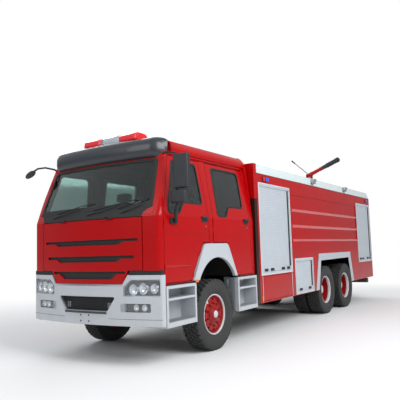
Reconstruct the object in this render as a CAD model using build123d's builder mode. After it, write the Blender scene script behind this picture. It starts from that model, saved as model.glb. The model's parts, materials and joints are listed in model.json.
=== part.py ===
from build123d import *
import math
import os

os.makedirs("parts", exist_ok=True)

# Six-wheel crew-cab fire tender. X is its left side, Y runs rearward and Z up from the ground.
# Sizes are in millimetres. A station is a distance behind the front axle.

# Running gear
front_axle_y = -3475
wheelbase = 4600
tandem_spacing = 1350
tyre_radius = 525
tyre_width = 298
tread_width = 256
rim_seat_radius = 286
rim_lip_radius = 300
rim_half_width = 115
rim_wall = 10
seat_gap = 0.3
running_gap = 0.6
front_tyre_x = 1010
twin_middle_x = 928
twin_spacing = 335
kingpin_x = 850
kingpin_radius = 25
kingpin_boss_radius = 58
axle_boss_height = 150
fork_arm = 48
spindle_radius = 45
rear_spindle_radius = 50
drum_radius = 205
axle_tube_radius = 75

# Chassis
rail_outer = 430
rail_flange = 80
rail_wall = 8
rail_height = 260
rail_top = 960
frame_front = -1400
frame_rear = 8200
member_depth = 90
member_height = 170
cross_members = (-1330, 1420, 2150, 2900, 4010, 5275, 6600, 8130)

# Cab
cab_half_width = 1215
cab_nose = -1545
cab_corner = -1420
cab_corner_radius = 90
cab_rear = 1175
cab_sill = 1060
cab_belt = 1960
cab_rail = 2830
bumper_side_end = -1348
cab_top = 3045
cab_rear_lean = 85
screen_rake = 0.385
cab_top_half_width = 1085
cab_wall = 45
door_skin = 14
door_gap = 8
door_step = 20
glass_thickness = 6
glass_inset = 6
glass_gap = 0.4
glass_corner = 60
flap_thickness = 42
flap_gap = 6

# Body
body_half_width = 1250
body_front = 1310
body_rear = 8400
body_bottom = 550
body_top = 2805
bulkhead_front = 1200
bulkhead_top = 2963
arch_top = 1290
rail_board_height = 150
rail_board = 35
recess_depth = 45


def station(distance):
    """Y of a point that lies a distance behind the front axle."""
    return front_axle_y + distance


def cross_plane(y):
    """Upright plane across the vehicle. Its axes are X and Z, and it faces forward."""
    return Plane(origin=(0, y, 0), x_dir=(1, 0, 0), z_dir=(0, -1, 0))


def side_plane(x):
    """Upright plane along the vehicle. Its axes are Y and Z, and it faces left."""
    return Plane(origin=(x, 0, 0), x_dir=(0, 1, 0), z_dir=(1, 0, 0))


def outline(points, radius=0, margin=0):
    """Closed profile, drawn in by a margin and rounded at its corners."""
    with BuildSketch(Plane.XY, mode=Mode.PRIVATE) as shape:
        Polygon(*points, align=None)
        if margin:
            offset(amount=-margin, kind=Kind.INTERSECTION)
        if radius:
            fillet(shape.vertices(), radius=radius)
    return shape.sketch


def turn(points, axle_y, axle_z):
    """Body of revolution about an axle. Points are X and radius."""
    section = Plane(origin=(0, axle_y, axle_z), x_dir=(1, 0, 0), z_dir=(0, -1, 0)) * outline(points)
    revolve(section, axis=Axis((0, axle_y, axle_z), (1, 0, 0)))


def write(piece, label):
    piece.part.label = label
    export_step(piece.part, f"parts/{label}.step")


sides = {"left": 1, "right": -1}
axle_z = tyre_radius
rear_axle_ys = (station(wheelbase), station(wheelbase + tandem_spacing))
rail_mid = rail_top - rail_height / 2
rail_bottom = rail_top - rail_height

# Chassis frame: two channel rails, closed cross members, cab mounts and the rear under-run bar
cab_mount_stations = (-1050, 800)
under_run_z = 500
under_run_section = 120
under_run_inset = 80
lug_start = 8150
lug_end = 8385
lug_half_width = 65
lug_thickness = 100
lug_z = 830
lug_bore_station = 8330
lug_bore_radius = 25
with BuildPart() as chassis_frame:
    with BuildSketch(cross_plane(station(frame_rear))):
        for side in sides.values():
            with Locations((side * (rail_outer - rail_flange / 2), rail_mid)):
                Rectangle(rail_flange, rail_height)
            with Locations((side * (rail_outer - rail_wall - rail_flange / 2), rail_mid)):
                Rectangle(rail_flange, rail_height - 2 * rail_wall, mode=Mode.SUBTRACT)
    extrude(amount=frame_rear - frame_front)
    mount_height = cab_sill - seat_gap - rail_top
    for mount_station in cab_mount_stations:
        for side in sides.values():
            with Locations((side * (rail_outer - rail_flange / 2), station(mount_station), rail_top)):
                Cylinder(rail_flange / 2, mount_height, align=(Align.CENTER, Align.CENTER, Align.MIN))
write(chassis_frame, "chassis_frame")
with BuildPart() as rear_bar:
    for side in sides.values():
        with Locations((side * (rail_outer - rail_flange / 2), station(frame_rear) - member_depth, rail_bottom)):
            Box(rail_flange, member_depth, rail_bottom - under_run_z, align=(Align.CENTER, Align.CENTER, Align.MAX))
    with Locations((0, station(frame_rear) - member_depth, under_run_z)):
        Box(2 * (body_half_width - under_run_inset), under_run_section, under_run_section)
write(rear_bar, "rear_bar")
with BuildPart() as cross_frame:
    with Locations([(0, station(d), rail_mid) for d in cross_members]):
        Box(2 * (rail_outer - rail_wall), member_depth, member_height)
    with Locations((0, station(lug_start), lug_z)):
        Box(2 * lug_half_width, lug_end - lug_start, lug_thickness, align=(Align.CENTER, Align.MIN, Align.CENTER))
    with Locations((0, station(lug_bore_station), lug_z)):
        Cylinder(lug_bore_radius, lug_thickness, mode=Mode.SUBTRACT)
write(cross_frame, "cross_members")

# Front axle: forged beam with a dropped middle and a kingpin boss at each end
beam_depth = 100
beam_drop_top = 440
pad_half_width = 470
front_spring_x = rail_outer - rail_flange / 2
with BuildPart() as front_axle:
    with BuildSketch(cross_plane(front_axle_y - beam_depth / 2)):
        half_beam = [
            (0, beam_drop_top), (pad_half_width, beam_drop_top), (700, axle_z + 40), (kingpin_x, axle_z + 45),
            (kingpin_x, axle_z - 45), (720, axle_z - 60), (500, beam_drop_top - beam_depth),
            (0, beam_drop_top - beam_depth),
        ]
        with BuildLine():
            Polyline(*half_beam, close=True)
        make_face()
        mirror(about=Plane.YZ)
    extrude(amount=-beam_depth)
    for side in sides.values():
        with Locations((side * kingpin_x, front_axle_y, axle_z)):
            Cylinder(kingpin_boss_radius, axle_boss_height)
            Cylinder(kingpin_radius + running_gap, axle_boss_height, mode=Mode.SUBTRACT)
write(front_axle, "front_axle")

# Leaf springs: front packs under the rails, rear packs that rock between the two driven axles
front_spring_reach = 720
front_spring_width = 80
leaf = 14
rear_spring_x = 490
rear_spring_width = 90
rear_pad_top = axle_z + axle_tube_radius + 30
with BuildPart() as leaf_springs:
    for side in sides.values():
        with BuildSketch(side_plane(side * front_spring_x - front_spring_width / 2)):
            pack_bottom = beam_drop_top + seat_gap
            with BuildLine():
                crown = pack_bottom + 5 * leaf
                eye = rail_bottom - 110
                top = ThreePointArc(
                    (station(-front_spring_reach), eye), (station(0), crown), (station(front_spring_reach), eye))
                Polyline(
                    top @ 1, (station(front_spring_reach), eye - 2 * leaf), (station(420), pack_bottom + 30),
                    (station(120), pack_bottom), (station(-120), pack_bottom),
                    (station(-420), pack_bottom + 30), (station(-front_spring_reach), eye - 2 * leaf), top @ 0)
            make_face()
            for end in (-1, 1):
                with Locations((station(end * front_spring_reach), (eye + rail_bottom) / 2 - leaf)):
                    Rectangle(70, rail_bottom - eye + 2 * leaf)
        extrude(amount=front_spring_width)
    for side in sides.values():
        with BuildSketch(side_plane(side * rear_spring_x - rear_spring_width / 2)):
            first, second = rear_axle_ys
            middle = (first + second) / 2
            with BuildLine():
                top = ThreePointArc((first - 70, rear_pad_top + 40), (middle, rear_pad_top + 190),
                                    (second + 70, rear_pad_top + 40))
                Polyline(top @ 1, (second + 70, rear_pad_top + seat_gap), (second - 160, rear_pad_top + seat_gap),
                         (middle + 260, rear_pad_top + 40), (middle - 260, rear_pad_top + 40),
                         (first + 160, rear_pad_top + seat_gap), (first - 70, rear_pad_top + seat_gap), top @ 0)
            make_face()
            with Locations((middle, rail_mid)):
                Rectangle(300, 200)
        extrude(amount=rear_spring_width)
        bracket_inner = rail_outer + seat_gap
        with Locations((side * (bracket_inner + rear_spring_x) / 2, middle, rail_mid)):
            Box(rear_spring_x - bracket_inner, 300, 200)
write(leaf_springs, "leaf_springs")

# Driven rear axles: tube, pressed bowl with its pinion nose, spring pads and wheel spindles
bowl_radius = 190
spindle_start = 726
spindle_end = 1050
pinion_reach = 330
with BuildPart() as rear_axles:
    for y in rear_axle_ys:
        turn([
            (-spindle_end, 0), (-spindle_end, rear_spindle_radius), (-spindle_start, rear_spindle_radius),
            (-spindle_start, axle_tube_radius), (-260, axle_tube_radius), (-110, bowl_radius), (110, bowl_radius),
            (260, axle_tube_radius), (spindle_start, axle_tube_radius), (spindle_start, rear_spindle_radius),
            (spindle_end, rear_spindle_radius), (spindle_end, 0),
        ], y, axle_z)
        with BuildSketch(cross_plane(y)):
            with Locations((0, axle_z)):
                Circle(95)
        extrude(amount=pinion_reach, taper=5)
        for side in sides.values():
            with Locations((side * rear_spring_x, y, rear_pad_top)):
                Box(rear_spring_width, 140, rear_pad_top - axle_z, align=(Align.CENTER, Align.CENTER, Align.MAX))
write(rear_axles, "rear_axles")

# Engine with its gearbox, one plain mass between the rails
engine_stations = (-700, 480)
engine_half_width = 270
engine_bottom = 610
engine_top = 1340
gearbox_end = 1300
shaft_z = 670
with BuildPart() as engine_block:
    engine_length = engine_stations[1] - engine_stations[0]
    engine_middle = station((engine_stations[0] + engine_stations[1]) / 2)
    with Locations((0, engine_middle, (engine_bottom + engine_top) / 2)):
        Box(2 * engine_half_width, engine_length, engine_top - engine_bottom)
    with BuildSketch(cross_plane(station(gearbox_end))):
        with Locations((0, shaft_z)):
            Circle(50)
    extrude(amount=20)
    with BuildSketch(cross_plane(station(gearbox_end) - 20)):
        with Locations((0, shaft_z)):
            Circle(66)
    with BuildSketch(cross_plane(station(engine_stations[1]))):
        with Locations((0, shaft_z + 110)):
            Circle(160)
    loft()
    for side in sides.values():
        for foot in (-450, 250):
            reach = rail_outer - rail_wall - seat_gap - engine_half_width
            with Locations((side * (engine_half_width + reach / 2), station(foot), rail_mid)):
                Box(reach, 90, 80)
write(engine_block, "engine_block")


# Propeller shafts from the gearbox to the first driven axle and on to the second
def shaft(start, end, radius):
    along = Vector(*end) - Vector(*start)
    with BuildSketch(Plane(origin=start, z_dir=along), mode=Mode.PRIVATE) as section:
        Circle(radius)
    extrude(section.sketch, amount=along.length)


shaft_radius = 42
flange_radius = 58
flange_thickness = 24
with BuildPart() as driveline:
    seat = flange_thickness / 2 + seat_gap
    first, second = rear_axle_ys
    ends = [
        (station(gearbox_end) + seat, shaft_z), (first - pinion_reach - seat, axle_z),
        (first + bowl_radius + seat, axle_z), (second - pinion_reach - seat, axle_z),
    ]
    for (start, start_z), (end, end_z) in (ends[:2], ends[2:]):
        shaft((0, start, start_z), (0, end, end_z), shaft_radius)
    for y, z in ends:
        with BuildSketch(cross_plane(y + flange_thickness / 2)):
            with Locations((0, z)):
                Circle(flange_radius)
        extrude(amount=flange_thickness)
write(driveline, "driveline")


# Hinges. Each has a fixed barrel and a moving barrel on one line, each with a leaf to its own panel
hinge_offset = 6
hinge_radius = hinge_offset - seat_gap
hinge_piece = 60
hinge_leaf = 14
door_hinges = {"front": (-1331, (1200, 1780)), "rear": (-116, (1620, 1820))}
hinge_x = cab_half_width + hinge_offset
flap_hinge_x = 400
flap_hinge_y = station(cab_nose) - hinge_offset - 1
flap_hinge_z = cab_belt - 5
flap_leaf_reach = 30


def door_knuckle(side, end_name, index, moving):
    """Barrel on a door's hinge line. The moving one stands on top of the fixed one."""
    distance, heights = door_hinges[end_name]
    bottom = heights[index] + (hinge_piece + seat_gap if moving else 0)
    reach = hinge_leaf if moving else -hinge_leaf
    with Locations((side * hinge_x, station(distance), bottom)):
        Cylinder(hinge_radius, hinge_piece, align=(Align.CENTER, Align.CENTER, Align.MIN))
    with Locations((side * (hinge_x - hinge_offset / 2 - 0.5), station(distance) + reach / 2, bottom)):
        Box(hinge_offset + 1, hinge_leaf, hinge_piece, align=(Align.CENTER, Align.CENTER, Align.MIN))


def flap_knuckle(side, moving):
    """Barrel on the front flap's hinge line, with a leaf up to the cab or down to the flap."""
    x = side * (flap_hinge_x + (hinge_piece + seat_gap if moving else 0))
    with Locations(Plane(origin=(x, flap_hinge_y, flap_hinge_z), z_dir=(1, 0, 0))):
        Cylinder(hinge_radius, hinge_piece)
    upright = Align.MAX if moving else Align.MIN
    with Locations((x, flap_hinge_y, flap_hinge_z)):
        Box(hinge_piece, flap_leaf_reach, 20, align=(Align.CENTER, Align.MIN, upright))


# Cab forms: the skin and the surfaces that lie inside it at a given depth
slack = 100
side_lean = (cab_half_width - cab_top_half_width) / (cab_rail - cab_belt)


def cab_form(depth, sill=cab_sill):
    """Solid cab body whose faces lie at a depth inside the skin."""
    half = cab_half_width - depth
    slope = Vector(0, screen_rake, 1) * (cab_top + slack - cab_belt)
    rear_y = station(cab_rear)
    side_profile = [
        (station(cab_nose) - slack, sill), (rear_y, sill), (rear_y, cab_belt),
        (rear_y - cab_rear_lean, cab_rail + 55), (rear_y - cab_rear_lean - 90, cab_top - 40),
        (station(-900), cab_top), (station(cab_nose) - slack, cab_top),
    ]
    right_edge = [
        (cab_half_width + slack, sill - slack), (cab_half_width + slack, cab_belt - slack / side_lean),
        (cab_top_half_width, cab_rail), (cab_top_half_width - 120, cab_top), (cab_top_half_width - 125, cab_top + slack),
    ]
    front_profile = right_edge + [(-x, z) for x, z in reversed(right_edge)]
    with BuildPart() as form:
        for low, lean in ((sill - slack, Vector(0, 0, cab_belt - sill + slack)), (cab_belt, slope)):
            with BuildSketch(Plane.XY.offset(low)) as plan:
                with BuildLine():
                    nose = ThreePointArc((-half, station(cab_corner) + depth), (0, station(cab_nose) + depth),
                                         (half, station(cab_corner) + depth))
                    Polyline(nose @ 1, (half, rear_y), (-half, rear_y), nose @ 0)
                make_face()
                fillet(plan.vertices().sort_by(Axis.Y)[:2], radius=cab_corner_radius - depth)
            extrude(amount=lean.length, dir=lean)
        with BuildSketch(Plane.XY.offset(sill - slack)):
            with Locations((0, rear_y - 400)):
                Rectangle(2 * half, 800 + slack)
        extrude(amount=cab_top - sill + 2 * slack)
        with BuildSketch(side_plane(-cab_half_width - slack)):
            add(outline(side_profile, margin=depth))
        extrude(amount=2 * (cab_half_width + slack), mode=Mode.INTERSECT)
        with BuildSketch(cross_plane(rear_y + slack)):
            add(outline(front_profile, margin=depth))
        extrude(amount=cab_rear - cab_nose + 6 * slack, mode=Mode.INTERSECT)
    return form.part


cab_skin = cab_form(0)
cab_rebate = cab_form(door_skin)
low_sill = cab_sill - 200
flap_outer = cab_form(0, low_sill)
flap_inner = cab_form(flap_thickness, low_sill)
cab_inside = cab_form(cab_wall)
door_inside = cab_form(cab_wall, low_sill)
glass_outer = cab_form(glass_inset)
glass_inner = cab_form(glass_inset + glass_thickness)
cowl_depth = 16
cowl_inner = cab_form(cowl_depth)

# Outlines on the cab's side, as station and height
arch_outline = [(-700, 1070), (-400, 1585), (270, 1585), (550, 1070)]
front_door = [
    (-1335, 1070), (-1335, cab_belt), (-1060, 2815), (-305, 2815), (-225, 1930), (-225, 1585 + door_gap),
    (-400 - door_gap / 2, 1585 + door_gap), (-700 - door_gap, 1070 + door_gap / 2), (-700 - door_gap, 1070),
]
rear_door = [
    (-120, 1585 + door_gap), (-120, 2815), (1020, 2815), (1100, 1070), (550 + door_gap, 1070),
    (270 + door_gap / 2, 1585 + door_gap),
]
front_window = [(-1240, 1990), (-985, 2755), (-385, 2755), (-340, 2150), (-830, 2150), (-960, 1990)]
rear_window = [(30, 1990), (30, 2755), (870, 2755), (880, 2150), (420, 2150), (300, 1990)]
windscreen_outline = [(-1080, 2110), (1080, 2110), (1010, 2760), (-1010, 2760)]
cowl_bottom = cab_belt + 25
cowl_outline = [(-1110, cowl_bottom), (1110, cowl_bottom), (1110, 2095), (-1110, 2095)]
flap_half_width = 960
flap_bottom = 1065
flap_shoulder = 1246
flap_outline = [
    (-640, flap_bottom), (640, flap_bottom), (735, flap_shoulder), (flap_half_width, flap_shoulder),
    (flap_half_width, cab_belt - 5), (-flap_half_width, cab_belt - 5), (-flap_half_width, flap_shoulder),
    (-735, flap_shoulder),
]
side_reach = 880


def on_side(points):
    return [(station(distance), height) for distance, height in points]


def side_prism(points, side, margin, radius=0, mode=Mode.INTERSECT):
    """Prism through one side wall of the cab."""
    section = side_plane(side * side_reach) * outline(on_side(points), radius=radius, margin=margin)
    extrude(section, amount=side * 500, mode=mode)


def front_prism(points, margin, radius=0, mode=Mode.INTERSECT):
    """Prism through the front wall of the cab."""
    section = cross_plane(station(-1000)) * outline(points, radius=radius, margin=margin)
    extrude(section, amount=800, mode=mode)


# Cab shell: hollow, with the engine tunnel, the wheel housings and every opening cut
tunnel_half_width = 330
tunnel_top = 1400
well_inner_x = 540
well_half_length = 650
well_top = 1400
liner = 30
with BuildPart() as cab_cavity:
    add(cab_inside)
    with Locations((0, station(-1290) - 500, cab_belt)):
        Box(3000, 1000, 1200, align=(Align.CENTER, Align.CENTER, Align.MAX), mode=Mode.SUBTRACT)
    with Locations((0, station(-900), cab_sill)):
        Box(2 * (tunnel_half_width + liner), 2 * 1500, 2 * (tunnel_top + liner - cab_sill), mode=Mode.SUBTRACT)
    for side in sides.values():
        with Locations((side * (well_inner_x - liner + 400), front_axle_y, cab_sill)):
            Box(800, 2 * (well_half_length + liner), 2 * (well_top + liner - cab_sill), mode=Mode.SUBTRACT)
bay_reach = 30
bumper_bay_depth = 86
with BuildPart() as flap_bay:
    add(cab_form(-bay_reach, low_sill))
    add(cab_form(flap_thickness + flap_gap, low_sill), mode=Mode.SUBTRACT)
    front_prism(flap_outline, margin=-flap_gap)
with BuildPart() as cowl_bay:
    add(cab_form(-bay_reach))
    add(cowl_inner, mode=Mode.SUBTRACT)
    front_prism(cowl_outline, margin=-seat_gap)
with BuildPart() as bumper_bay:
    add(cab_form(-bay_reach, low_sill))
    add(cab_form(bumper_bay_depth, low_sill), mode=Mode.SUBTRACT)
    with Locations((0, station(bumper_side_end), low_sill)):
        Box(3000, 1000, flap_shoulder - low_sill, align=(Align.CENTER, Align.MAX, Align.MIN), mode=Mode.INTERSECT)
arch_trim_depth = 22
arch_proud = 25
arch_corner = 110
with BuildPart() as wall_layer:
    add(cab_form(-bay_reach, low_sill))
    add(cab_form(cab_wall + 1, low_sill), mode=Mode.SUBTRACT)


def doorway(points, side):
    """Door opening through the cab's wall."""
    with BuildPart() as cut:
        add(wall_layer.part)
        side_prism(points, side, 0)
    return cut.part


def arch_face(margin):
    """Outline of the front wheel arch, with its two upper corners rounded."""
    with BuildSketch(Plane.XY, mode=Mode.PRIVATE) as shape:
        Polygon(*on_side(arch_outline), align=None)
        offset(amount=-margin, kind=Kind.INTERSECTION)
        fillet(shape.vertices().sort_by(Axis.Y)[-2:], radius=arch_corner)
    return shape.sketch


with BuildPart() as cab_shell:
    add(cab_skin)
    add(cab_cavity.part, mode=Mode.SUBTRACT)
    add(flap_bay.part, mode=Mode.SUBTRACT)
    add(cowl_bay.part, mode=Mode.SUBTRACT)
    add(bumper_bay.part, mode=Mode.SUBTRACT)
    with Locations((0, station(-900), cab_sill)):
        Box(2 * tunnel_half_width, 2 * (1500 - liner), 2 * (tunnel_top - cab_sill), mode=Mode.SUBTRACT)
    front_prism(windscreen_outline, margin=0, radius=glass_corner, mode=Mode.SUBTRACT)
    for side in sides.values():
        with Locations((side * (well_inner_x + 500), front_axle_y, cab_sill)):
            Box(1000, 2 * well_half_length, 2 * (well_top - cab_sill), mode=Mode.SUBTRACT)
        for door_points in (front_door, rear_door):
            add(doorway(door_points, side), mode=Mode.SUBTRACT)
        with BuildSketch(side_plane(side * (cab_half_width - arch_trim_depth))):
            add(arch_face(-seat_gap))
        extrude(amount=side * 200, mode=Mode.SUBTRACT)
    for side in sides.values():
        with Locations((side * (cab_top_half_width + 8), station(0), cab_rail + 15)):
            Box(24, 2 * 1040, 28)
        for end_name in door_hinges:
            for index in range(2):
                door_knuckle(side, end_name, index, moving=False)
        flap_knuckle(side, moving=False)
with BuildPart() as floor_space:
    with Locations((0, station(-1290), cab_sill - 1)):
        Box(2 * (cab_half_width - cab_wall), cab_rear - cab_wall + 1290, well_top + liner + 1 - cab_sill + 1,
            align=(Align.CENTER, Align.MIN, Align.MIN))
with BuildPart() as cab_floor:
    add(cab_shell.part)
    add(floor_space.part, mode=Mode.INTERSECT)
write(cab_floor, "cab_floor")
with BuildPart() as cab_walls:
    add(cab_shell.part)
    add(floor_space.part, mode=Mode.SUBTRACT)
write(cab_walls, "cab_shell")

# Cowl below the windscreen, windscreen and front maintenance flap
with BuildPart() as cowl:
    add(cab_skin)
    add(cowl_inner, mode=Mode.SUBTRACT)
    front_prism(cowl_outline, margin=seat_gap)
write(cowl, "cowl")

with BuildPart() as windscreen:
    add(glass_outer)
    add(glass_inner, mode=Mode.SUBTRACT)
    front_prism(windscreen_outline, margin=glass_gap, radius=glass_corner)
write(windscreen, "windscreen")

# Each slot runs thin to its ends and steps down to a deeper middle. Rows: top, half width, depth and end height
slot_rows = ((1672, 890, 74, 34), (1450, 830, 82, 40), (1240, 690, 104, 34))
slot_deep_share = 0.66
with BuildPart() as front_flap:
    add(flap_outer)
    add(flap_inner, mode=Mode.SUBTRACT)
    front_prism(flap_outline, margin=flap_gap)
    for height, half, depth, end_height in slot_rows:
        step = half * slot_deep_share
        slot = [
            (-half, height), (half, height), (half, height - end_height), (step + depth, height - end_height),
            (step, height - depth), (-step, height - depth), (-step - depth, height - end_height),
            (-half, height - end_height),
        ]
        front_prism(slot, margin=0, mode=Mode.SUBTRACT)
    for side in sides.values():
        flap_knuckle(side, moving=True)
write(front_flap, "front_flap")


# Doors: an outer skin and a stepped inner frame in one solid, with the window cut and its glass set in
def door_layer(outer, inner, points, window, side, margin, window_margin):
    with BuildPart() as layer:
        add(outer)
        add(inner, mode=Mode.SUBTRACT)
        side_prism(points, side, margin)
        side_prism(window, side, window_margin, radius=glass_corner, mode=Mode.SUBTRACT)
    return layer.part


for side_name, side in sides.items():
    for end_name, points, window in (("front", front_door, front_window), ("rear", rear_door, rear_window)):
        skin = door_layer(cab_skin, cab_rebate, points, window, side, door_gap, 0)
        frame = door_layer(cab_rebate, door_inside, points, window, side, door_gap + door_step, -12)
        with BuildPart() as door:
            add(skin)
            add(frame)
            for index in range(2):
                door_knuckle(side, end_name, index, moving=True)
        write(door, f"door_{end_name}_{side_name}")
        with BuildPart() as glass:
            add(glass_outer)
            add(glass_inner, mode=Mode.SUBTRACT)
            side_prism(window, side, glass_gap, radius=glass_corner)
        write(glass, f"glass_{end_name}_{side_name}")

# Mirrors: two housings on a mast that stands on the front door below its window
mirror_station = -1200
mirror_x = 1430
mirror_width = 235
mirror_depth = 90
mast_radius = 13
mirror_heights = ((2350, 420), (2130, 170))
mast_foot_heights = (1860, 1945)
for side_name, side in sides.items():
    with BuildPart() as mirror_arm:
        for bottom, tall in mirror_heights:
            with Locations((side * mirror_x, station(mirror_station), bottom)):
                Box(mirror_width, mirror_depth, tall, align=(Align.CENTER, Align.CENTER, Align.MIN))
        mast_x = mirror_x - 60
        mast_y = station(mirror_station) + mirror_depth / 2
        with Locations((side * mast_x, mast_y, mast_foot_heights[0] - mast_radius)):
            Cylinder(mast_radius, 860, align=(Align.CENTER, Align.CENTER, Align.MIN))
        for height in mast_foot_heights:
            foot_length = mast_x - cab_half_width - seat_gap
            with Locations((side * (mast_x - foot_length / 2), mast_y, height)):
                Box(foot_length, 2 * mast_radius, 2 * mast_radius - 2)
    write(mirror_arm, f"mirror_{side_name}")

# Visor across the top of the windscreen, with a crease along it
with BuildPart() as visor:
    with BuildSketch(side_plane(-1070)):
        add(outline([
            (station(-1150), 2775), (station(-1265), 2790), (station(-1290), 2960), (station(-1180), 3062),
            (station(-1020), 3050), (station(-1060), 2780),
        ]))
    extrude(amount=2140)
    with BuildSketch(cross_plane(station(-900))):
        add(outline([(-1070, 2700), (1070, 2700), (1070, 2960), (980, 3070), (-980, 3070), (-1070, 2960)]))
    extrude(amount=600, mode=Mode.INTERSECT)
    add(cab_form(-seat_gap), mode=Mode.SUBTRACT)
write(visor, "visor")

# Light bar: two coloured domes and a clear middle on one base
light_bar_station = -910
light_bar_half = 630
with BuildPart() as light_bar:
    with Locations((0, station(light_bar_station), cab_top + 0.3)):
        Box(2 * light_bar_half, 200, 45, align=(Align.CENTER, Align.CENTER, Align.MIN))
    with Locations((0, station(light_bar_station), cab_top + 45)):
        Box(2 * light_bar_half, 300, 145, align=(Align.CENTER, Align.CENTER, Align.MIN))
    fillet(light_bar.edges().filter_by(Axis.Z).group_by(Axis.Z)[-1], radius=60)
write(light_bar, "light_bar")

# Front bumper: a bowed wall that returns at each side, with the lamp pockets and the lower grille cut
bumper_nose = -1570
bumper_corner = -1400
bumper_bottom = 530
bumper_top = 1190
bumper_half_width = 1235
bumper_wall = 58
notch_bottom = 1050
headlamp = [(668, 915), (1195, 912), (1195, 1130), (775, 1130), (668, 1035)]
fog_lamp = [(620, 712), (1060, 712), (1060, 822), (620, 822)]


def bumper_plan(depth, radius):
    """Plan of the bumper, drawn in from its outer face by a depth."""
    half = bumper_half_width - depth
    with BuildSketch(Plane.XY.offset(bumper_bottom), mode=Mode.PRIVATE) as plan:
        with BuildLine():
            nose = ThreePointArc((-half, station(bumper_corner) + depth), (0, station(bumper_nose) + depth),
                                 (half, station(bumper_corner) + depth))
            rear_y = station(bumper_side_end) + depth
            Polyline(nose @ 1, (half, rear_y), (-half, rear_y), nose @ 0)
        make_face()
        fillet(plan.vertices().sort_by(Axis.Y)[:2], radius=radius)
    return plan.sketch


def lamp_box(lamp, side, margin):
    """Section of a lamp and its pocket in the front wall of the bumper."""
    return cross_plane(station(-1200)) * outline([(side * x, z) for x, z in lamp], radius=14, margin=margin)


with BuildPart() as bumper_skin:
    extrude(bumper_plan(0, 46), amount=bumper_top - bumper_bottom)
with BuildPart() as bumper_core:
    extrude(bumper_plan(bumper_wall, 10), amount=bumper_top - bumper_bottom)
with BuildPart() as lamp_back:
    extrude(bumper_plan(bumper_wall + 20, 8), amount=bumper_top - bumper_bottom)
lower_grille = [(-540, 905), (540, 905), (400, 715), (-400, 715)]
with BuildPart() as front_bumper:
    add(bumper_skin.part)
    add(bumper_core.part, mode=Mode.SUBTRACT)
    with BuildSketch(cross_plane(station(-1000))):
        add(outline([(-660, notch_bottom), (660, notch_bottom), (750, bumper_top + 1), (-750, bumper_top + 1)]))
        add(outline(lower_grille, radius=20))
    extrude(amount=700, mode=Mode.SUBTRACT)
    for lamp in (headlamp, fog_lamp):
        for side in sides.values():
            extrude(lamp_box(lamp, side, 0), amount=500, mode=Mode.SUBTRACT)
    for side in sides.values():
        bracket_front = station(bumper_nose) + bumper_wall - 2
        bracket_rear = station(frame_front) - seat_gap
        with Locations((side * (rail_outer - rail_flange / 2), (bracket_front + bracket_rear) / 2 + 12, rail_mid - 60)):
            Box(rail_flange, bracket_rear - bracket_front - 24, 100)
write(front_bumper, "front_bumper")

# Head lamps and fog lamps, each a block that fills its pocket
with BuildPart() as front_lamps:
    for lamp in (headlamp, fog_lamp):
        for side in sides.values():
            extrude(lamp_box(lamp, side, seat_gap), amount=500)
    add(bumper_skin.part, mode=Mode.INTERSECT)
    add(lamp_back.part, mode=Mode.SUBTRACT)
write(front_lamps, "front_lamps")

# Front wheel arch trims
with BuildPart() as front_arches:
    for side in sides.values():
        with BuildSketch(side_plane(side * (cab_half_width - arch_trim_depth + seat_gap))):
            add(arch_face(2))
            with Locations((station(-40), 800)):
                Circle(577, mode=Mode.SUBTRACT)
        extrude(amount=side * (arch_trim_depth + arch_proud - seat_gap))
write(front_arches, "front_arches")

# Cab steps: open boxes with a tread in each, carried on arms from the frame
step_inner_x = 930
step_outer_x = 1240
step_bottom = 505
step_top = 1040
step_wall = 28
step_boxes = ((-1338, -645), (545, 1195))
step_corner = 80
with BuildPart() as cab_steps:
    for side in sides.values():
        for low, high in step_boxes:
            middle = station((low + high) / 2)
            width = high - low
            with Locations((side * (step_inner_x + step_outer_x) / 2, middle, (step_bottom + step_top) / 2)):
                Box(step_outer_x - step_inner_x, width, step_top - step_bottom)
            if low > 0:
                with BuildSketch(Plane.XY.offset(step_bottom)):
                    Polygon((side * (step_inner_x - 1), station(low) - 1), (side * (step_outer_x - 60), station(low) - 1),
                            (side * (step_inner_x - 1), station(low) + step_corner), align=None)
                extrude(amount=step_top - step_bottom, mode=Mode.SUBTRACT)
            for floor, ceiling in ((570, 850), (880, 1000)):
                with Locations((side * (step_outer_x - 120), middle, (floor + ceiling) / 2)):
                    Box(240 + 2, width - 3 * step_wall, ceiling - floor, mode=Mode.SUBTRACT)
            arm = step_inner_x - rail_outer - seat_gap
            with Locations((side * (rail_outer + seat_gap + arm / 2), middle, rail_mid)):
                Box(arm, 80, 60)
write(cab_steps, "cab_steps")

# Seats: two in front on the wheel housings and a bench behind
seat_width = 480
seat_x = 640
with BuildPart() as seats:
    for side in sides.values():
        with BuildSketch(side_plane(side * seat_x - seat_width / 2)):
            add(outline(on_side([
                (-520, well_top + liner + seat_gap), (-60, well_top + liner + seat_gap), (60, 2360), (-50, 2370),
                (-130, 1720), (-560, 1700), (-560, 1580),
            ])))
        extrude(amount=seat_width)
    with BuildSketch(side_plane(-900)):
        bench_rear = cab_rear - cab_wall - 60
        add(outline(on_side([
            (720, cab_sill + cab_wall + seat_gap), (bench_rear, cab_sill + cab_wall + seat_gap),
            (bench_rear, 2200), (bench_rear - 110, 2200), (bench_rear - 160, 1640), (680, 1620), (680, 1500),
            (720, 1480),
        ])))
    extrude(amount=1800)
write(seats, "seats")

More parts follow.
